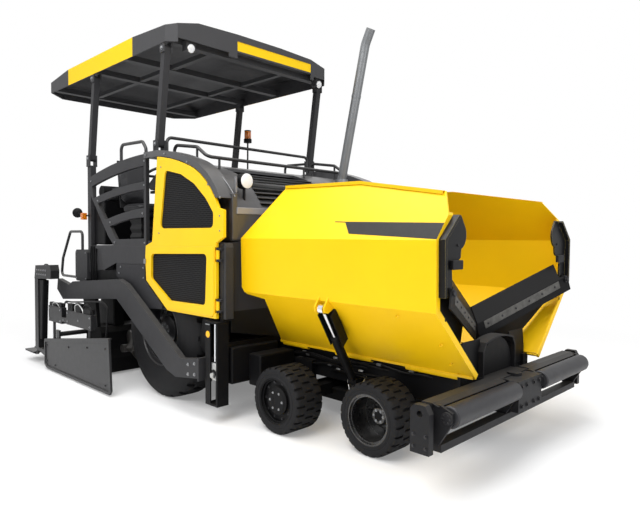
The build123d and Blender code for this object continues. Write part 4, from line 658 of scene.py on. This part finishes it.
# Drive wheels: large pneumatic tyres with staggered bars, on dark grey rims whose lock rings are scuffed
# bright, bolted to planetary hubs.
REAR_X = -85
REAR_R = 683
REAR_OUTER = 1225
AIR_TYRE = ((30, 317, 0), (8, 350, 0), (0, 420, 0), (0, 500, 0), (4, 560, 0), (6, 563, 0), (8, 590, 0),
            (22, 620, 1), (40, 655, 1), (62, 676, 1), (84, 681, 1), (128, 683, 1), (129.5, 683, 0),
            (140, 683, 0), (141.5, 683, 2), (243.5, 683, 2), (245, 683, 0), (255.5, 683, 0), (257, 683, 1),
            (301, 681, 1), (323, 676, 1), (345, 655, 1), (363, 620, 1), (377, 590, 0), (385, 500, 0),
            (385, 420, 0), (377, 350, 0), (355, 317, 0))
rim_enamel = enamel("rim_enamel", "#1C1C1E", "#151517", "#8A8A8C", rough=0.35, gloss=0.5, edge_at=0.95,
                    dust_part=0.05)
for side, sign in SIDES:
    made = treaded_tyre(f"rear_tread_{side}", AIR_TYRE, sign, REAR_OUTER, REAR_X, REAR_R, 28, 52)
    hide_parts(f"rear_tyre_{side}")
    body = f"rear_wheel_{side}"
    fit(made, tyre_rubber, body)
    dress(rim_enamel, f"rear_rim_{side}")
    nuts = bolt_circle(f"rear_wheel_nuts_{side}", REAR_X, sign * 1079, REAR_R, 205, 12, 16)
    fit(nuts, zinc_steel, body)
    heads = bolt_circle(f"rear_hub_bolts_{side}", REAR_X, sign * 1149.5, REAR_R, 62, 8, 9)
    fit(heads, zinc_steel, body)

# Engine and hood: a pressed steel cover sprayed dark grey over a black engine block. Its deck is washed
# bright by the sky; latches and bolts hold it to the bands.
dress(black_enamel, "engine_block")
hood_enamel = enamel("hood_enamel", "#3E3E41", "#38383A", "#77777A", rough=0.36, gloss=0.5, coat=0.15)
dress(hood_enamel, "hood")


def arc_through(start, middle, end, count):
    """Points on the circle through three points of a plane, from the first to the last."""
    start, middle, end = (complex(*p) for p in (start, middle, end))
    w = (end - start) / (middle - start)
    centre = start + (middle - start) * (w - abs(w) ** 2) / (2j * w.imag)
    first = np.angle(start - centre)
    turn = np.angle((end - centre) / (start - centre))
    circle = centre + abs(start - centre) * np.exp(1j * (first + turn * np.linspace(0, 1, count)))
    return np.column_stack([circle.real, circle.imag])


# The wall in front of the hood has a pale strip along its top, a painted reflection of the light at the
# hood's front edge, and a post at each end beside the door's edge.
# Pale grey enamel: painted highlights and reflections on the wall's top strip and the hood's bead, and the
# headlight brackets' own grey.
pale_and_highlight_enamel = enamel("pale_and_highlight_enamel", "#8A8A8E", "#77777B", "#A8A8AA", rough=0.35, gloss=0.5, coat=0.1)
fit(box("wall_top_reflection", (1040, -1098, 1852), (1056, 1098, 1912), 5), pale_and_highlight_enamel)
fit(box("wall_sheet", (1040, -1098, 1626), (1046, 1098, 1850), 2), hood_enamel)
pair(box, "wall_post_*", hood_enamel, (1000, 1088, 1622), (1048, 1144, 2034), slot="dark_grey_paint", edge=6)
# A thin pale bead along the inner edge of the hood's raised band: a painted highlight where its crease
# catches the light.
edge = np.concatenate([arc_through((1060, 2003), (905, 2160), (545, 2374), 20),
                       arc_through((545, 2374), (280, 2453), (10, 2501), 14)[1:]])
highlight_line = [(x, 1124, z) for x, z in edge]
pair(tube, "hood_bead_*", pale_and_highlight_enamel, highlight_line, slot="dark_grey_paint", radius=4, bend=2)
side_bolts("hood_bolts_*", zinc_steel, 1271,
           ((-250, 2480), (120, 2455), (520, 2340), (860, 2110), (1040, 1990)), 8)

# Headlights: round lamps in black cases under a pale moulded lens, each beside a bracket bent from sheet.
# The lens is given a faint white glow, a painted reflection of the lamp's reflector.
dress(black_enamel, "headlights")


def ribbed(name, along, scale, strength, face, shade, values):
    """A moulded lens: two tones and a raised rib that follow one wave along an axis. The wave repeats every
    314 mm over its scale, so the ribs stand 7 or 8 mm apart."""
    made, tree, place = material(name)
    ribs = add(tree, "TexWave", {"wave_type": "BANDS", "bands_direction": along},
               {"Scale": scale, "Distortion": 0.0}, {"Vector": place})
    tone = add(tree, "MixRGB", values={"Color1": face, "Color2": shade}, links={"Fac": ribs.outputs["Fac"]})
    bump = add(tree, "Bump", values={"Strength": strength, "Distance": 0.002},
               links={"Height": ribs.outputs["Fac"]})
    lens = add(tree, "BsdfPrincipled", values=values, links={"Base Color": tone, "Normal": bump})
    add(tree, "OutputMaterial", links={"Surface": lens})
    return made


# The faint emission is painted light: a glow that stands for the reflector's reflection.
lens_glass = ribbed("clear_lens", "Y", 40.0, 0.4, "#F4F5F6", "#C4C7CA",
                    {"Roughness": 0.12, "Coat Weight": 1.0, "Coat Roughness": 0.03, "Emission Strength": 0.12,
                     "Emission Color": "#FFFFFF"})


def dome(name, centre, facing, radius, rise, steps=9, sides=32):
    """A lens with a flat back: rings of radius R sin a about a centre, lifted along the facing by h cos a."""
    facing = unit(np.array(facing, float))
    side = unit(np.cross(facing, np.eye(3)[np.abs(facing).argmin()]))
    up = np.cross(side, facing)
    centre = np.array(centre, float)
    a = np.linspace(math.pi / 2, 0, steps)[:, None, None]
    t = np.linspace(0, 2 * math.pi, sides, endpoint=False)[None, :, None]
    rows = centre + radius * np.sin(a) * (np.cos(t) * side + np.sin(t) * up) + rise * np.cos(a) * facing
    back = rows[:1] * 0 + centre
    return skin(name, np.concatenate([back, rows]), loop_v=True, smooth=40)


pair(dome, "headlight_lens_*", lens_glass, (968, 920, 2162), (1, 0, 0), slot="clear_lens", radius=70, rise=10)
pair(box, "headlight_bracket_*", pale_and_highlight_enamel, (912, 1000, 2050), (930, 1020, 2198), slot="dark_grey_paint",
     edge=3)

# Side doors: pressed yellow frames with perforated black sheet in their windows, a latch at the rear edge
# and knuckles on the front one. The sheet reads as fine dark dots, shinier between them.
dress(yellow_enamel, "side_door_left", "side_door_right")
HOLE_PITCH_MM = 21.0
perforated, tree, place = material("perforated_sheet")
# Holes lie on two square-cornered lattices, the second shifted by half a cell both ways, which together
# make the sheet's staggered rows; each lattice repeats every pitch by 1.732 pitches.
axes = add(tree, "SeparateXYZ", links={0: place})
nearest = None
for shift in (0.0, 0.5):
    parts = []
    for axis, cell in ((0, 1.0), (2, 1.732)):
        cells = add(tree, "Math", {"operation": "MULTIPLY_ADD"},
                    {1: 1 / (HOLE_PITCH_MM * MM * cell), 2: shift}, {0: axes.outputs[axis]})
        part = add(tree, "Math", {"operation": "FRACT"}, links={0: cells})
        parts.append(add(tree, "Math", {"operation": "MULTIPLY_ADD"}, {1: cell, 2: -0.5 * cell}, {0: part}))
    both = add(tree, "CombineXYZ", links={0: parts[0], 1: parts[1]})
    far = add(tree, "VectorMath", {"operation": "LENGTH"}, links={0: both})
    if nearest:
        far = add(tree, "Math", {"operation": "MINIMUM"},
                  links={0: nearest.outputs["Value"], 1: far.outputs["Value"]})
    nearest = far
hole = add(tree, "MapRange", {"interpolation_type": "SMOOTHSTEP"}, {"From Min": 0.33, "From Max": 0.42},
           {"Value": nearest.outputs["Value"]})
# The holes are painted black, painted shade of the dark space behind the sheet.
tone = add(tree, "MixRGB", values={"Color1": "#000000", "Color2": "#1B1B1D"}, links={"Fac": hole})
bump = add(tree, "Bump", values={"Strength": 0.6, "Distance": 0.002}, links={"Height": hole})
dull = add(tree, "Math", {"operation": "MULTIPLY_ADD"}, {1: -0.5, 2: 1.0}, {0: hole})
sheet = add(tree, "BsdfPrincipled", values={"Specular IOR Level": 0.2},
            links={"Base Color": tone, "Roughness": dull, "Normal": bump})
add(tree, "OutputMaterial", links={"Surface": sheet})
dress(perforated, "door_screens_left", "door_screens_right")
pair(box, "door_latch_*", zinc_steel, (-258, 1283, 1368), (-222, 1296, 1418), slot="chrome_rod",
     body="side_door_*", edge=4)
side_bolts("door_bolts_*", zinc_steel, 1275, ((1040, 1700), (1040, 1830), (20, 1680), (60, 2330)), 6,
           slot="chrome_rod", body="side_door_*")

# Body panels: the front wall with its corner columns, sills and side sheets, bent from steel sheet and
# sprayed dark grey. Under the doors, behind the tow guide, a near-black lower front and a black plate are
# painted shade.
# The near-black box on the panels' lower front is painted shade under the doors.
wall_enamel = enamel("wall_enamel", "#2D2D30", "#28282A", "#545456", rough=0.55, gloss=0.15, coat=0.0,
                     areas=[((880, -1300, 600), (1100, 1300, 985), "#0C0C0D")])
dress(wall_enamel, "body_panels")
side_bolts("panel_bolts_*", zinc_steel, 1258,
           ((-870, 1240), (-830, 1310), (-330, 1320), (-330, 1215), (-400, 925)), 7)
front_bolts("wall_bolts_*", zinc_steel, 1040,
            ((1200, 1560), (1200, 1230), (1200, 940), (700, 1590), (350, 1590)), 9)
# The corner column's raised outer strip, chamfered at its top, in a flat grey of its own.
grey_enamel = enamel("grey_enamel", "#353537", "#2F2F31", "#5C5C5E", rough=0.5, gloss=0.18, coat=0.0)
strip = ((1041, 925), (1075, 925), (1075, 1555), (1062, 1590), (1041, 1597))
pair(plate, "corner_strip_*", grey_enamel, strip, 1150, 1238, slot="dark_grey_paint", edge=5)
# A black plate under each door, painted shade there.
shade_plate_outline = ((905, 700), (640, 560), (560, 640), (620, 890), (905, 890))
pair(plate, "side_tank_*", black_enamel, shade_plate_outline, 1060, 1170, edge=10)
# Under the deck, behind the drive wheel: a black sheet that hides the pump bay, with its drain pipes.
sheet = ((-1890, 1045), (-1890, 1535), (-1010, 1535), (-1010, 1180), (-1200, 1045))
pair(plate, "pump_bay_sheet_*", black_enamel, sheet, 1120, 1132, edge=3)
for i, (x, z) in enumerate(((-1845, 1050), (-1800, 1080), (-1755, 1060), (-1700, 1090))):
    drain = ((x, 1142, 1520), (x - 6, 1150, 1400), (x + 8, 1148, 1250), (x, 1142, z))
    pair(tube, f"drain_pipe_*_{i}", black_enamel, drain, radius=9, bend=60)

# Platform: the operators' deck with raised anti-slip dashes, its rear wall and columns, and a rounded
# stowage box on each side. Boots keep the dashes shiny at their edges and dusty between.
deck_enamel = enamel("deck_enamel", "#333335", "#2C2C2E", "#7C7C7E", rough=0.5, gloss=0.3, dust_part=0.3)
dress(grey_enamel, "platform")
DASH_STEP = 60
DASH_HALF = np.array(((-17, -5), (17, -5), (17, 5), (-17, 5)), float)
DIAGONAL = 0.707
dash_x = np.arange(-1480, -330, DASH_STEP)
dash_y = np.arange(-1180, 1190, DASH_STEP)
gx, gy = np.meshgrid(dash_x, dash_y, indexing="ij")
lean = np.where((np.arange(len(dash_x))[:, None] + np.arange(len(dash_y))) % 2, 1.0, -1.0)
open_deck = ((np.abs(gy) < 560) | (gx > -800)) & (np.abs(gy) > 175)
gx, gy, lean = (grid[open_deck][:, None] for grid in (gx, gy, lean))
dx = (DASH_HALF[:, 0] - DASH_HALF[:, 1] * lean) * DIAGONAL
dy = (DASH_HALF[:, 0] * lean + DASH_HALF[:, 1]) * DIAGONAL
levels = [np.stack([gx + dx * part, gy + dy * part, np.full(dx.shape, z)], -1)
          for part, z in ((1.0, 1539.5), (0.8, 1542.0))]
points = np.concatenate(levels, 1).reshape(-1, 3)
quads = np.array(((0, 1, 5, 4), (1, 2, 6, 5), (2, 3, 7, 6), (3, 0, 4, 7), (4, 5, 6, 7), (3, 2, 1, 0)))
faces = (np.arange(len(gx))[:, None, None] * 8 + quads).reshape(-1, 4).tolist()
fit(surface("deck_dashes", points * MM, faces), deck_enamel)
side_bolts("box_bolts_*", zinc_steel, 1169, ((-2225, 1110), (-1950, 1110), (-1950, 1437), (-2225, 1437)), 8)

# Behind each seat, a black box on the deck, with a lid and a latch, and a rubberised cover rolled up on top.
# Its black is painted shade: it fills the side guard's openings with the dark of the space behind them.
pair(box, "cabinet_*", black_enamel, (-1880, 560, 1541), (-1570, 1092, 2085), edge=14)
pair(box, "cabinet_lid_*", beam_enamel, (-1888, 554, 2085), (-1560, 1098, 2120), edge=8)
pair(box, "cabinet_latch_*", zinc_steel, (-1750, 1092, 2010), (-1700, 1104, 2050), slot="chrome_rod", edge=3)
roll = ((-1725, 600, 2195), (-1725, 830, 2195), (-1725, 1060, 2195))
pair(tube, "rolled_cover_*", tyre_rubber, roll, radius=74, bend=40, sides=24)

# Side guards: cut and bent sheet frames with three arched openings, bolted on at the corners, with round
# tube braces behind the openings.
dress(grey_enamel, "side_guard_left", "side_guard_right")
heads = ((-1432, 2062), (-333, 2180), (-1115, 1804), (-371, 1889), (-1610, 2300), (-330, 2430), (-1010, 1580),
         (-330, 1580))
side_bolts("guard_bolts_*", zinc_steel, 1241, heads, 8)

# Mirror and tail lamps on the right and left rear corners, on short tube stems from the columns. The
# mirrors are silvered glass in black shells, and the lamps are moulded in ribbed amber plastic.
amber_lens = ribbed("amber_lens", "Z", 45.0, 0.5, "#F28A0C", "#B85A06",
                    {"Roughness": 0.15, "Coat Weight": 0.6})
stem = ((-1905, 1110, 1900), (-1960, 1190, 1905), (-2060, 1195, 1925), (-2105, 1195, 1940))
pair(tube, "mirror_stem_*", black_enamel, stem, radius=9, bend=20)
pair(dome, "mirror_back_*", black_enamel, (-2120, 1195, 1940), (0.8, 0.6, 0), radius=62, rise=26)
pair(dome, "mirror_glass_*", hard_chrome, (-2121, 1196, 1940), (-0.8, -0.6, 0), slot="chrome_rod", radius=56,
     rise=3)
pair(box, "tail_lamp_*", amber_lens, (-1990, 1150, 1850), (-1935, 1215, 1935), slot="amber_lens", edge=8)

# Console: a painted beam on a pedestal with a sloping panel of moulded plastic, buttons, a screen and a
# steering wheel at each seat. The plastic is matt black, the screen a dark gloss.
moulded = enamel("moulded_plastic", "#232325", "#1D1D1F", "#38383A", rough=0.55, coat=0.0, gloss=0.35,
                 dust_part=0.05)
dress(moulded, "console")
PANEL_LOW = np.array((-700.0, 0.0, 2216.0))
PANEL_WAY = unit(np.array((180.0, 0.0, 115.0)))
PANEL_OUT = np.array((-PANEL_WAY[2], 0.0, PANEL_WAY[0]))
ACROSS = np.array((0.0, 1.0, 0.0))
knob_y, knob_u = np.meshgrid(np.arange(-920, 921, 46), (45, 95, 150), indexing="ij")
clear = (np.abs(np.abs(knob_y) - 810) > 120) & (np.abs(knob_y) > 180)
knob_y, knob_u = knob_y[clear][:, None], knob_u[clear][:, None]
centres = PANEL_LOW + PANEL_WAY * knob_u + ACROSS * knob_y + PANEL_OUT * 0.5
knob_plastic = metal("knob_plastic", "#8A8A8C", "#6A6A6C", 0.4, 0.1, metallic=0.0)
fit(bolts("panel_knobs", centres, PANEL_OUT, 10), knob_plastic)
screen = np.array(((25, -150), (170, -150), (170, 150), (25, 150)), float)
rows = [PANEL_LOW + PANEL_WAY * screen[:, :1] + ACROSS * screen[:, 1:] + PANEL_OUT * out
        for out in (0.5, 9.0)]
screen_glass = enamel("screen_glass", "#0A0F14", "#0C1116", "#101820", rough=0.2, coat=0.8, gloss=0.5,
                      dust_part=0.0)
fit(prism("panel_screen", rows), screen_glass)

# Seats: a sprung pedestal, two armrests, and a cushion and backrest of foam in black vinyl.
# The vinyl has an embossed hide grain and a soft sheen.
SEAT_Y = 810
HIDE_PER_M = 420.0
vinyl, tree, place = material("black_vinyl")
hide = add(tree, "TexVoronoi", {"feature": "DISTANCE_TO_EDGE"}, {"Scale": HIDE_PER_M}, {"Vector": place})
patch = add(tree, "TexNoise", values={"Scale": 6.0, "Detail": 4.0}, links={"Vector": place})
tone = add(tree, "MixRGB", values={"Color1": "#222224", "Color2": "#2E2E31"},
           links={"Fac": patch.outputs["Fac"]})
bump = add(tree, "Bump", values={"Strength": 0.3, "Distance": 0.0006},
           links={"Height": hide.outputs["Distance"]})
cover = add(tree, "BsdfPrincipled", values={"Roughness": 0.5, "Specular IOR Level": 0.4},
            links={"Base Color": tone, "Normal": bump})
add(tree, "OutputMaterial", links={"Surface": cover})
FOAM_INSET = 20.0
FOAM_RISE = 16.0
CLOTH_FRAMES = 20


def padded_form(name, low, high, lean):
    """A cushion between two corners in millimetres, leaning by its top's shift along X.

    It is a grid on the rounded block |u|^5 + |v|^5 + |w|^5 = 1, puffed by cloth pressure until it is
    crowned."""
    low = np.array(low, float) + FOAM_INSET
    high = np.array(high, float) - FOAM_INSET
    t = np.linspace(0, math.pi, 25)[:, None]
    p = np.linspace(0, 2 * math.pi, 40, endpoint=False)[None, :]
    ball = np.stack([np.sin(t) * np.cos(p), np.sin(t) * np.sin(p), np.cos(t) + 0 * p], -1)
    block = ball / (np.abs(ball) ** 5).sum(-1, keepdims=True) ** 0.2
    rows = (low + high) / 2 + block * (high - low) / 2
    rows[..., 0] += lean * (rows[..., 2] - low[2]) / (high[2] - low[2])
    made = skin(name, rows, loop_v=True, smooth=60)
    shape = made.modifiers.new("even", "REMESH")
    shape.mode = "VOXEL"
    shape.voxel_size = 0.012
    bpy.context.view_layer.objects.active = made
    bpy.ops.object.select_all(action="DESELECT")
    made.select_set(True)
    bpy.ops.object.modifier_apply(modifier="even")
    start = np.zeros(len(made.data.vertices) * 3)
    made.data.vertices.foreach_get("co", start)
    start = start.reshape(-1, 3)
    cloth = made.modifiers.new("puff", "CLOTH")
    cloth.settings.use_pressure = True
    cloth.settings.uniform_pressure_force = 4.0
    cloth.settings.effector_weights.gravity = 0.0
    for step in range(1, CLOTH_FRAMES + 1):
        bpy.context.scene.frame_set(step)
    deps = bpy.context.evaluated_depsgraph_get()
    puffed = made.evaluated_get(deps).to_mesh()
    end = np.zeros(len(puffed.vertices) * 3)
    puffed.vertices.foreach_get("co", end)
    made.evaluated_get(deps).to_mesh_clear()
    made.modifiers.clear()
    move = end.reshape(-1, 3) - start
    far = np.linalg.norm(move, axis=1, keepdims=True)
    move *= np.minimum(1, FOAM_RISE * MM / np.maximum(far, 1e-9))
    made.data.vertices.foreach_set("co", (start + move).ravel())
    made.data.update()
    bpy.context.scene.frame_set(1)
    sub = made.modifiers.new("even", "SUBSURF")
    sub.levels = sub.render_levels = 1
    made.data.polygons.foreach_set("use_smooth", [True] * len(made.data.polygons))
    return made


BELLOWS_ROWS = 8
level = np.linspace(1541, 1885, BELLOWS_ROWS)[:, None]
half = np.where(np.arange(BELLOWS_ROWS)[:, None] % 2, 118, 135) + 0 * level
corner = np.array(((-1, -1), (1, -1), (1, 1), (-1, 1)), float)
for side, sign in SIDES:
    y = sign * SEAT_Y
    pad = padded_form(f"seat_cushion_{side}", (-1340, y - 245, 1905), (-835, y + 245, 2035), 0)
    fit(pad, vinyl)
    back = padded_form(f"seat_back_{side}", (-1385, y - 225, 2010), (-1290, y + 225, 2598), -78)
    fit(back, vinyl)
    rows = np.stack([-1095 + corner[:, 0] * half, y + corner[:, 1] * half, level + 0 * corner[:, 0]], -1)
    foot = prism(f"seat_bellows_{side}", rows)
    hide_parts("seats")
    fit(foot, moulded)
shell = ((-1385, 1990), (-1372, 1990), (-1448, 2560), (-1468, 2560))
pair(plate, "seat_shell_*", moulded, shell, 630, 990, slot="cab_plastic", edge=4)
pair(box, "seat_pan_*", moulded, (-1310, 620, 1880), (-870, 1000, 1925), slot="cab_plastic", edge=8)
rest = ((-1400, 2180), (-1395, 2215), (-1015, 2226), (-1000, 2205), (-1005, 2190))
for reach, inner, outer in (("inner", 538, 588), ("outer", 1032, 1082)):
    pair(plate, f"armrest_*_{reach}", vinyl, rest, inner, outer, slot="cab_plastic", edge=10)

# Roof: a crowned shell moulded in grey plastic with yellow bands along its sides and front, on square
# tube posts that fold back together. Round work lamps sit under the front corners.
BAND_YELLOW = "#F2C600"
roof_enamel = enamel("roof_enamel", "#3C3C3E", "#363638", "#5C5C5E", rough=0.55, coat=0.0, gloss=0.3,
                     dust_part=0.05, areas=[((-2466, 1150, 3600), (-738, 1160, 3830), BAND_YELLOW),
                                            ((-2466, -1160, 3600), (-738, -1150, 3830), BAND_YELLOW),
                                            ((29.5, -316, 3694), (31, 821, 3801), BAND_YELLOW)])
dress(roof_enamel, "canopy")
dress(grey_enamel, "front_posts", "rear_posts", "post_feet")
# The work lamps' lenses carry the same faint painted glow.
for side, y in (("right", -883), ("left", 1007)):
    lamp = dome(f"work_lamp_lens_{side}", (-4.5, y, 3592), (1, 0, -0.25), 44, 10)
    fit(lamp, lens_glass, "canopy")
side_bolts("post_pins_*", zinc_steel, 1150, ((-269, 2610), (-1905, 2610)), 15)
side_bolts("head_pins_*", zinc_steel, 1150, ((-129, 3565), (-1765, 3565)), 15, body="canopy")

# Handrails: bent steel tube sprayed black, stood on the hood and the platform in welded feet. Hands rub
# the enamel at the bends, which leaves it greyer and smoother there.
rail_enamel = enamel("rail_enamel", "#2A2A2C", "#222224", "#5A5A5C", rough=0.4, gloss=0.4, coat=0.1)
dress(rail_enamel, "handrails")

# Exhaust: a raked steel stack with two clamp bands, dulled by heat, its mouth closed by a near-black disc
# that is soot and painted shade inside the pipe, and the amber beacon on its mast.
stack_steel = metal("stack_steel", "#8E9092", "#6C6E70", 0.42, 0.2, (1, 1, 0.2), 0.8)
dress(stack_steel, "exhaust")
foot = np.array((580.0, 800.0, 2312.0))
rake = np.array((930.0, 800.0, 3830.0)) - foot
for i, part in enumerate((0.05, 0.62)):
    ends = foot + rake * part + unit(rake) * np.array((0, 14, 28))[:, None]
    fit(tube(f"stack_clamp_{i}", ends, 55, 5, 32), stack_steel)
# The disc over the mouth is near-black: soot, and painted shade of the pipe's inside.
mouth_soot_and_shade = metal("stack_soot_and_shade", "#0A0A0A", "#141312", 0.9, 0.1, metallic=0.0)
fit(dome("stack_mouth", (1009.6, 800, 3984.2), (0.46, 0, 0.89), 47, 1.5), mouth_soot_and_shade)
dress(black_enamel, "beacon")
# The beacon's lens, as (r, z) turned about its mast: x + r cos t, y + r sin t.
BEACON = ((0, 3130), (49, 3130), (51, 3135), (51, 3240), (46, 3254), (30, 3261), (0, 3262))
BEACON_X = -1735
BEACON_Y = 1228
r, z = np.array(BEACON, float).T
t = np.linspace(0, 2 * math.pi, 32, endpoint=False)[:, None]
rows = np.stack([BEACON_X + r * np.cos(t), BEACON_Y + r * np.sin(t), z + 0 * t], -1)
fit(skin("beacon_lens", rows, loop_u=True, smooth=35), amber_lens)

# Tow guides: an upright channel on each side in dark grey, with the bright tow block that slides in it,
# its chromed rod, a round yellow reflector and a pale bar above.
dress(black_enamel, "tow_guides")
dress(grey_enamel, "tow_arms")
reflector = metal("reflector_plastic", "#FFC400", "#F2A800", 0.2, 0.05, metallic=0.0)
pair(dome, "reflector_*", reflector, (897, 1302, 783), (0, 1, 0), slot="yellow_paint", radius=30, rise=6)
pair(box, "guide_bar_*", zinc_steel, (866, 1302, 868), (928, 1306, 878), slot="chrome_rod", edge=1)
block = ((935, 380), (1008, 380), (1015, 400), (1015, 520), (1000, 538), (935, 538), (927, 520), (927, 400))
pair(plate, "tow_block_*", bright_steel, block, 1262, 1290, slot="chrome_rod", edge=4)
side_bolts("tow_block_nut_*", bright_steel, 1290, ((972, 428),), 26, slot="chrome_rod")
for i, x in enumerate((955, 1012)):
    rod = ((x, 1262, 530), (x, 1262, 700), (x, 1262, 880))
    pair(tube, f"lift_rod_*_{i}", hard_chrome, rod, slot="chrome_rod", radius=11, bend=20)
# The four bolts that hold the arm to its tongue.
side_bolts("arm_bolts_tow_*", zinc_steel, 1340, ((640, 478), (745, 500), (640, 388), (745, 402)), 11,
           slot="dark_grey_paint", body="screed")

# Screed: the black heated body with its extensions and end plates, scuffed by the mat, with gear cases,
# hydraulic pipes and a control box on each side.
dress(black_enamel, "screed_main")
END_PLATE_GREY = "#252527"
screed_enamel = enamel("screed_enamel", "#1B1B1D", "#141416", "#6A6A6C", rough=0.45, coat=0.05, gloss=0.35,
                       dust_part=0.1, areas=[((-2225, 1555, 0), (-415, 1581, 600), END_PLATE_GREY),
                                             ((-2225, -1581, 0), (-415, -1555, 600), END_PLATE_GREY)])
dress(screed_enamel, "screed_extension_left", "screed_extension_right")
EXTENSION = "extension_*"
# The bar along the end plate's top, on its bent edge, and the plate's bolts.
bar = ((-2215, 372), (-460, 603), (-463, 585), (-2215, 352))
pair(plate, "end_plate_bar_*", screed_enamel, bar, 1540, 1579, body=EXTENSION, edge=3)
heads = ((-2150, 300), (-2150, 110), (-1900, 90), (-560, 95), (-560, 480), (-1000, 430), (-1500, 365))
side_bolts("end_plate_heads_*", screed_enamel, 1568, heads, 10, body=EXTENSION)
hoop = ((-1700, 1531, 790), (-1690, 1531, 880), (-1500, 1531, 885), (-682, 1531, 957), (-567, 1531, 897),
        (-600, 1531, 640), (-640, 1522, 560))
pair(tube, "screed_pipe_*", black_enamel, hoop, body=EXTENSION, radius=9, bend=60)
for i, (x, lift) in enumerate(((-1980, 32), (-1640, 46), (-1330, 50), (-1090, 60))):
    loop = ((x, 1552, 780), (x - 20, 1556, 780 + lift * 1.5), (x + 90, 1560, 790 + lift * 2),
            (x + 200, 1556, 780 + lift), (x + 210, 1550, 775))
    finish = black_enamel if i % 2 else bright_steel
    pair(tube, f"gear_pipe_*_{i}", finish, loop, body=EXTENSION, radius=7, bend=45)
# Columns: rear x, front x, bottom and top.
GEAR_CASES = ((-2090, -1880, 800, 842), (-1860, -1720, 800, 850), (-1540, -1400, 790, 870),
              (-1330, -1180, 790, 890), (-1120, -920, 790, 850))
for i, (x0, x1, z0, z1) in enumerate(GEAR_CASES):
    pair(box, f"gear_case_*_{i}", black_enamel, (x0, 1512, z0), (x1, 1560, z1), body=EXTENSION, edge=7)
heads = ((-2070, 640), (-2070, 770), (-1740, 640), (-1740, 770), (-1530, 660), (-1530, 760), (-930, 660),
         (-930, 760), (-1230, 700), (-1640, 665))
side_bolts("case_bolts_*", zinc_steel, 1567, heads, 8, slot="chrome_rod", body=EXTENSION)
# Behind them, on the screed's own body: a valve block, a heater case and pipes that loop up and back.
pair(box, "valve_block_*", black_enamel, (-1800, 912, 560), (-1440, 1052, 905), body="screed", edge=14)
pair(box, "heater_case_*", black_enamel, (-2180, 620, 420), (-1820, 1005, 800), body="screed", edge=14)
for i in range(7):
    x = -1790 + 28 * i
    y = 932 + 17 * i
    hoop = ((x, y, 890), (x - 10, y, 940 + 9 * i), (x + 120 - 8 * i, y - 12, 965 + 6 * i), (x + 150, y, 890))
    finish = zinc_steel if i in (2, 5) else black_enamel
    pair(tube, f"valve_pipe_*_{i}", finish, hoop, body="screed", radius=9, bend=55)
# Control stand's fat column, and its box: buttons on a sloping face, a grab loop above, a supply pipe below.
column = ((-2585, 330), (-2600, 700), (-2570, 1090), (-2330, 1090), (-2360, 820), (-2400, 330))
pair(plate, "stand_column_*", black_enamel, column, 1470, 1544, body=EXTENSION, edge=12)
grab = ((-2400, 1500, 1272), (-2395, 1500, 1285), (-2330, 1500, 1289), (-2290, 1500, 1285),
        (-2285, 1500, 1275))
pair(tube, "control_grab_*", black_enamel, grab, body=EXTENSION, radius=7, bend=8)
drop = ((-2560, 1510, 1130), (-2600, 1510, 1050), (-2606, 1510, 900), (-2580, 1510, 700), (-2540, 1510, 600))
pair(tube, "control_pipe_*", black_enamel, drop, body=EXTENSION, radius=8, bend=50)
keys = [(x, z) for x in (-2500, -2430, -2360, -2290, -2220) for z in (1160, 1215)]
side_bolts("control_keys_*", knob_plastic, 1556, keys, 9, slot="cab_plastic", body=EXTENSION)
feet = [(-2589.5, y, z) for y in (1475, 1530) for z in (300, 500, 700, 900)]
pair(bolts, "stand_bolts_*", zinc_steel, feet, (-1, 0, 0), body=EXTENSION, size=8)

# Augers: a steel screw on each side that spreads the mix, its flight welded to a round shaft. The mix
# scours the flight bright at its edge.
auger_steel = metal("auger_steel", "#6E6C69", "#3A3836", 0.42, 0.35, (1, 1, 1), 0.8)
dress(auger_steel, "auger_left", "auger_right")
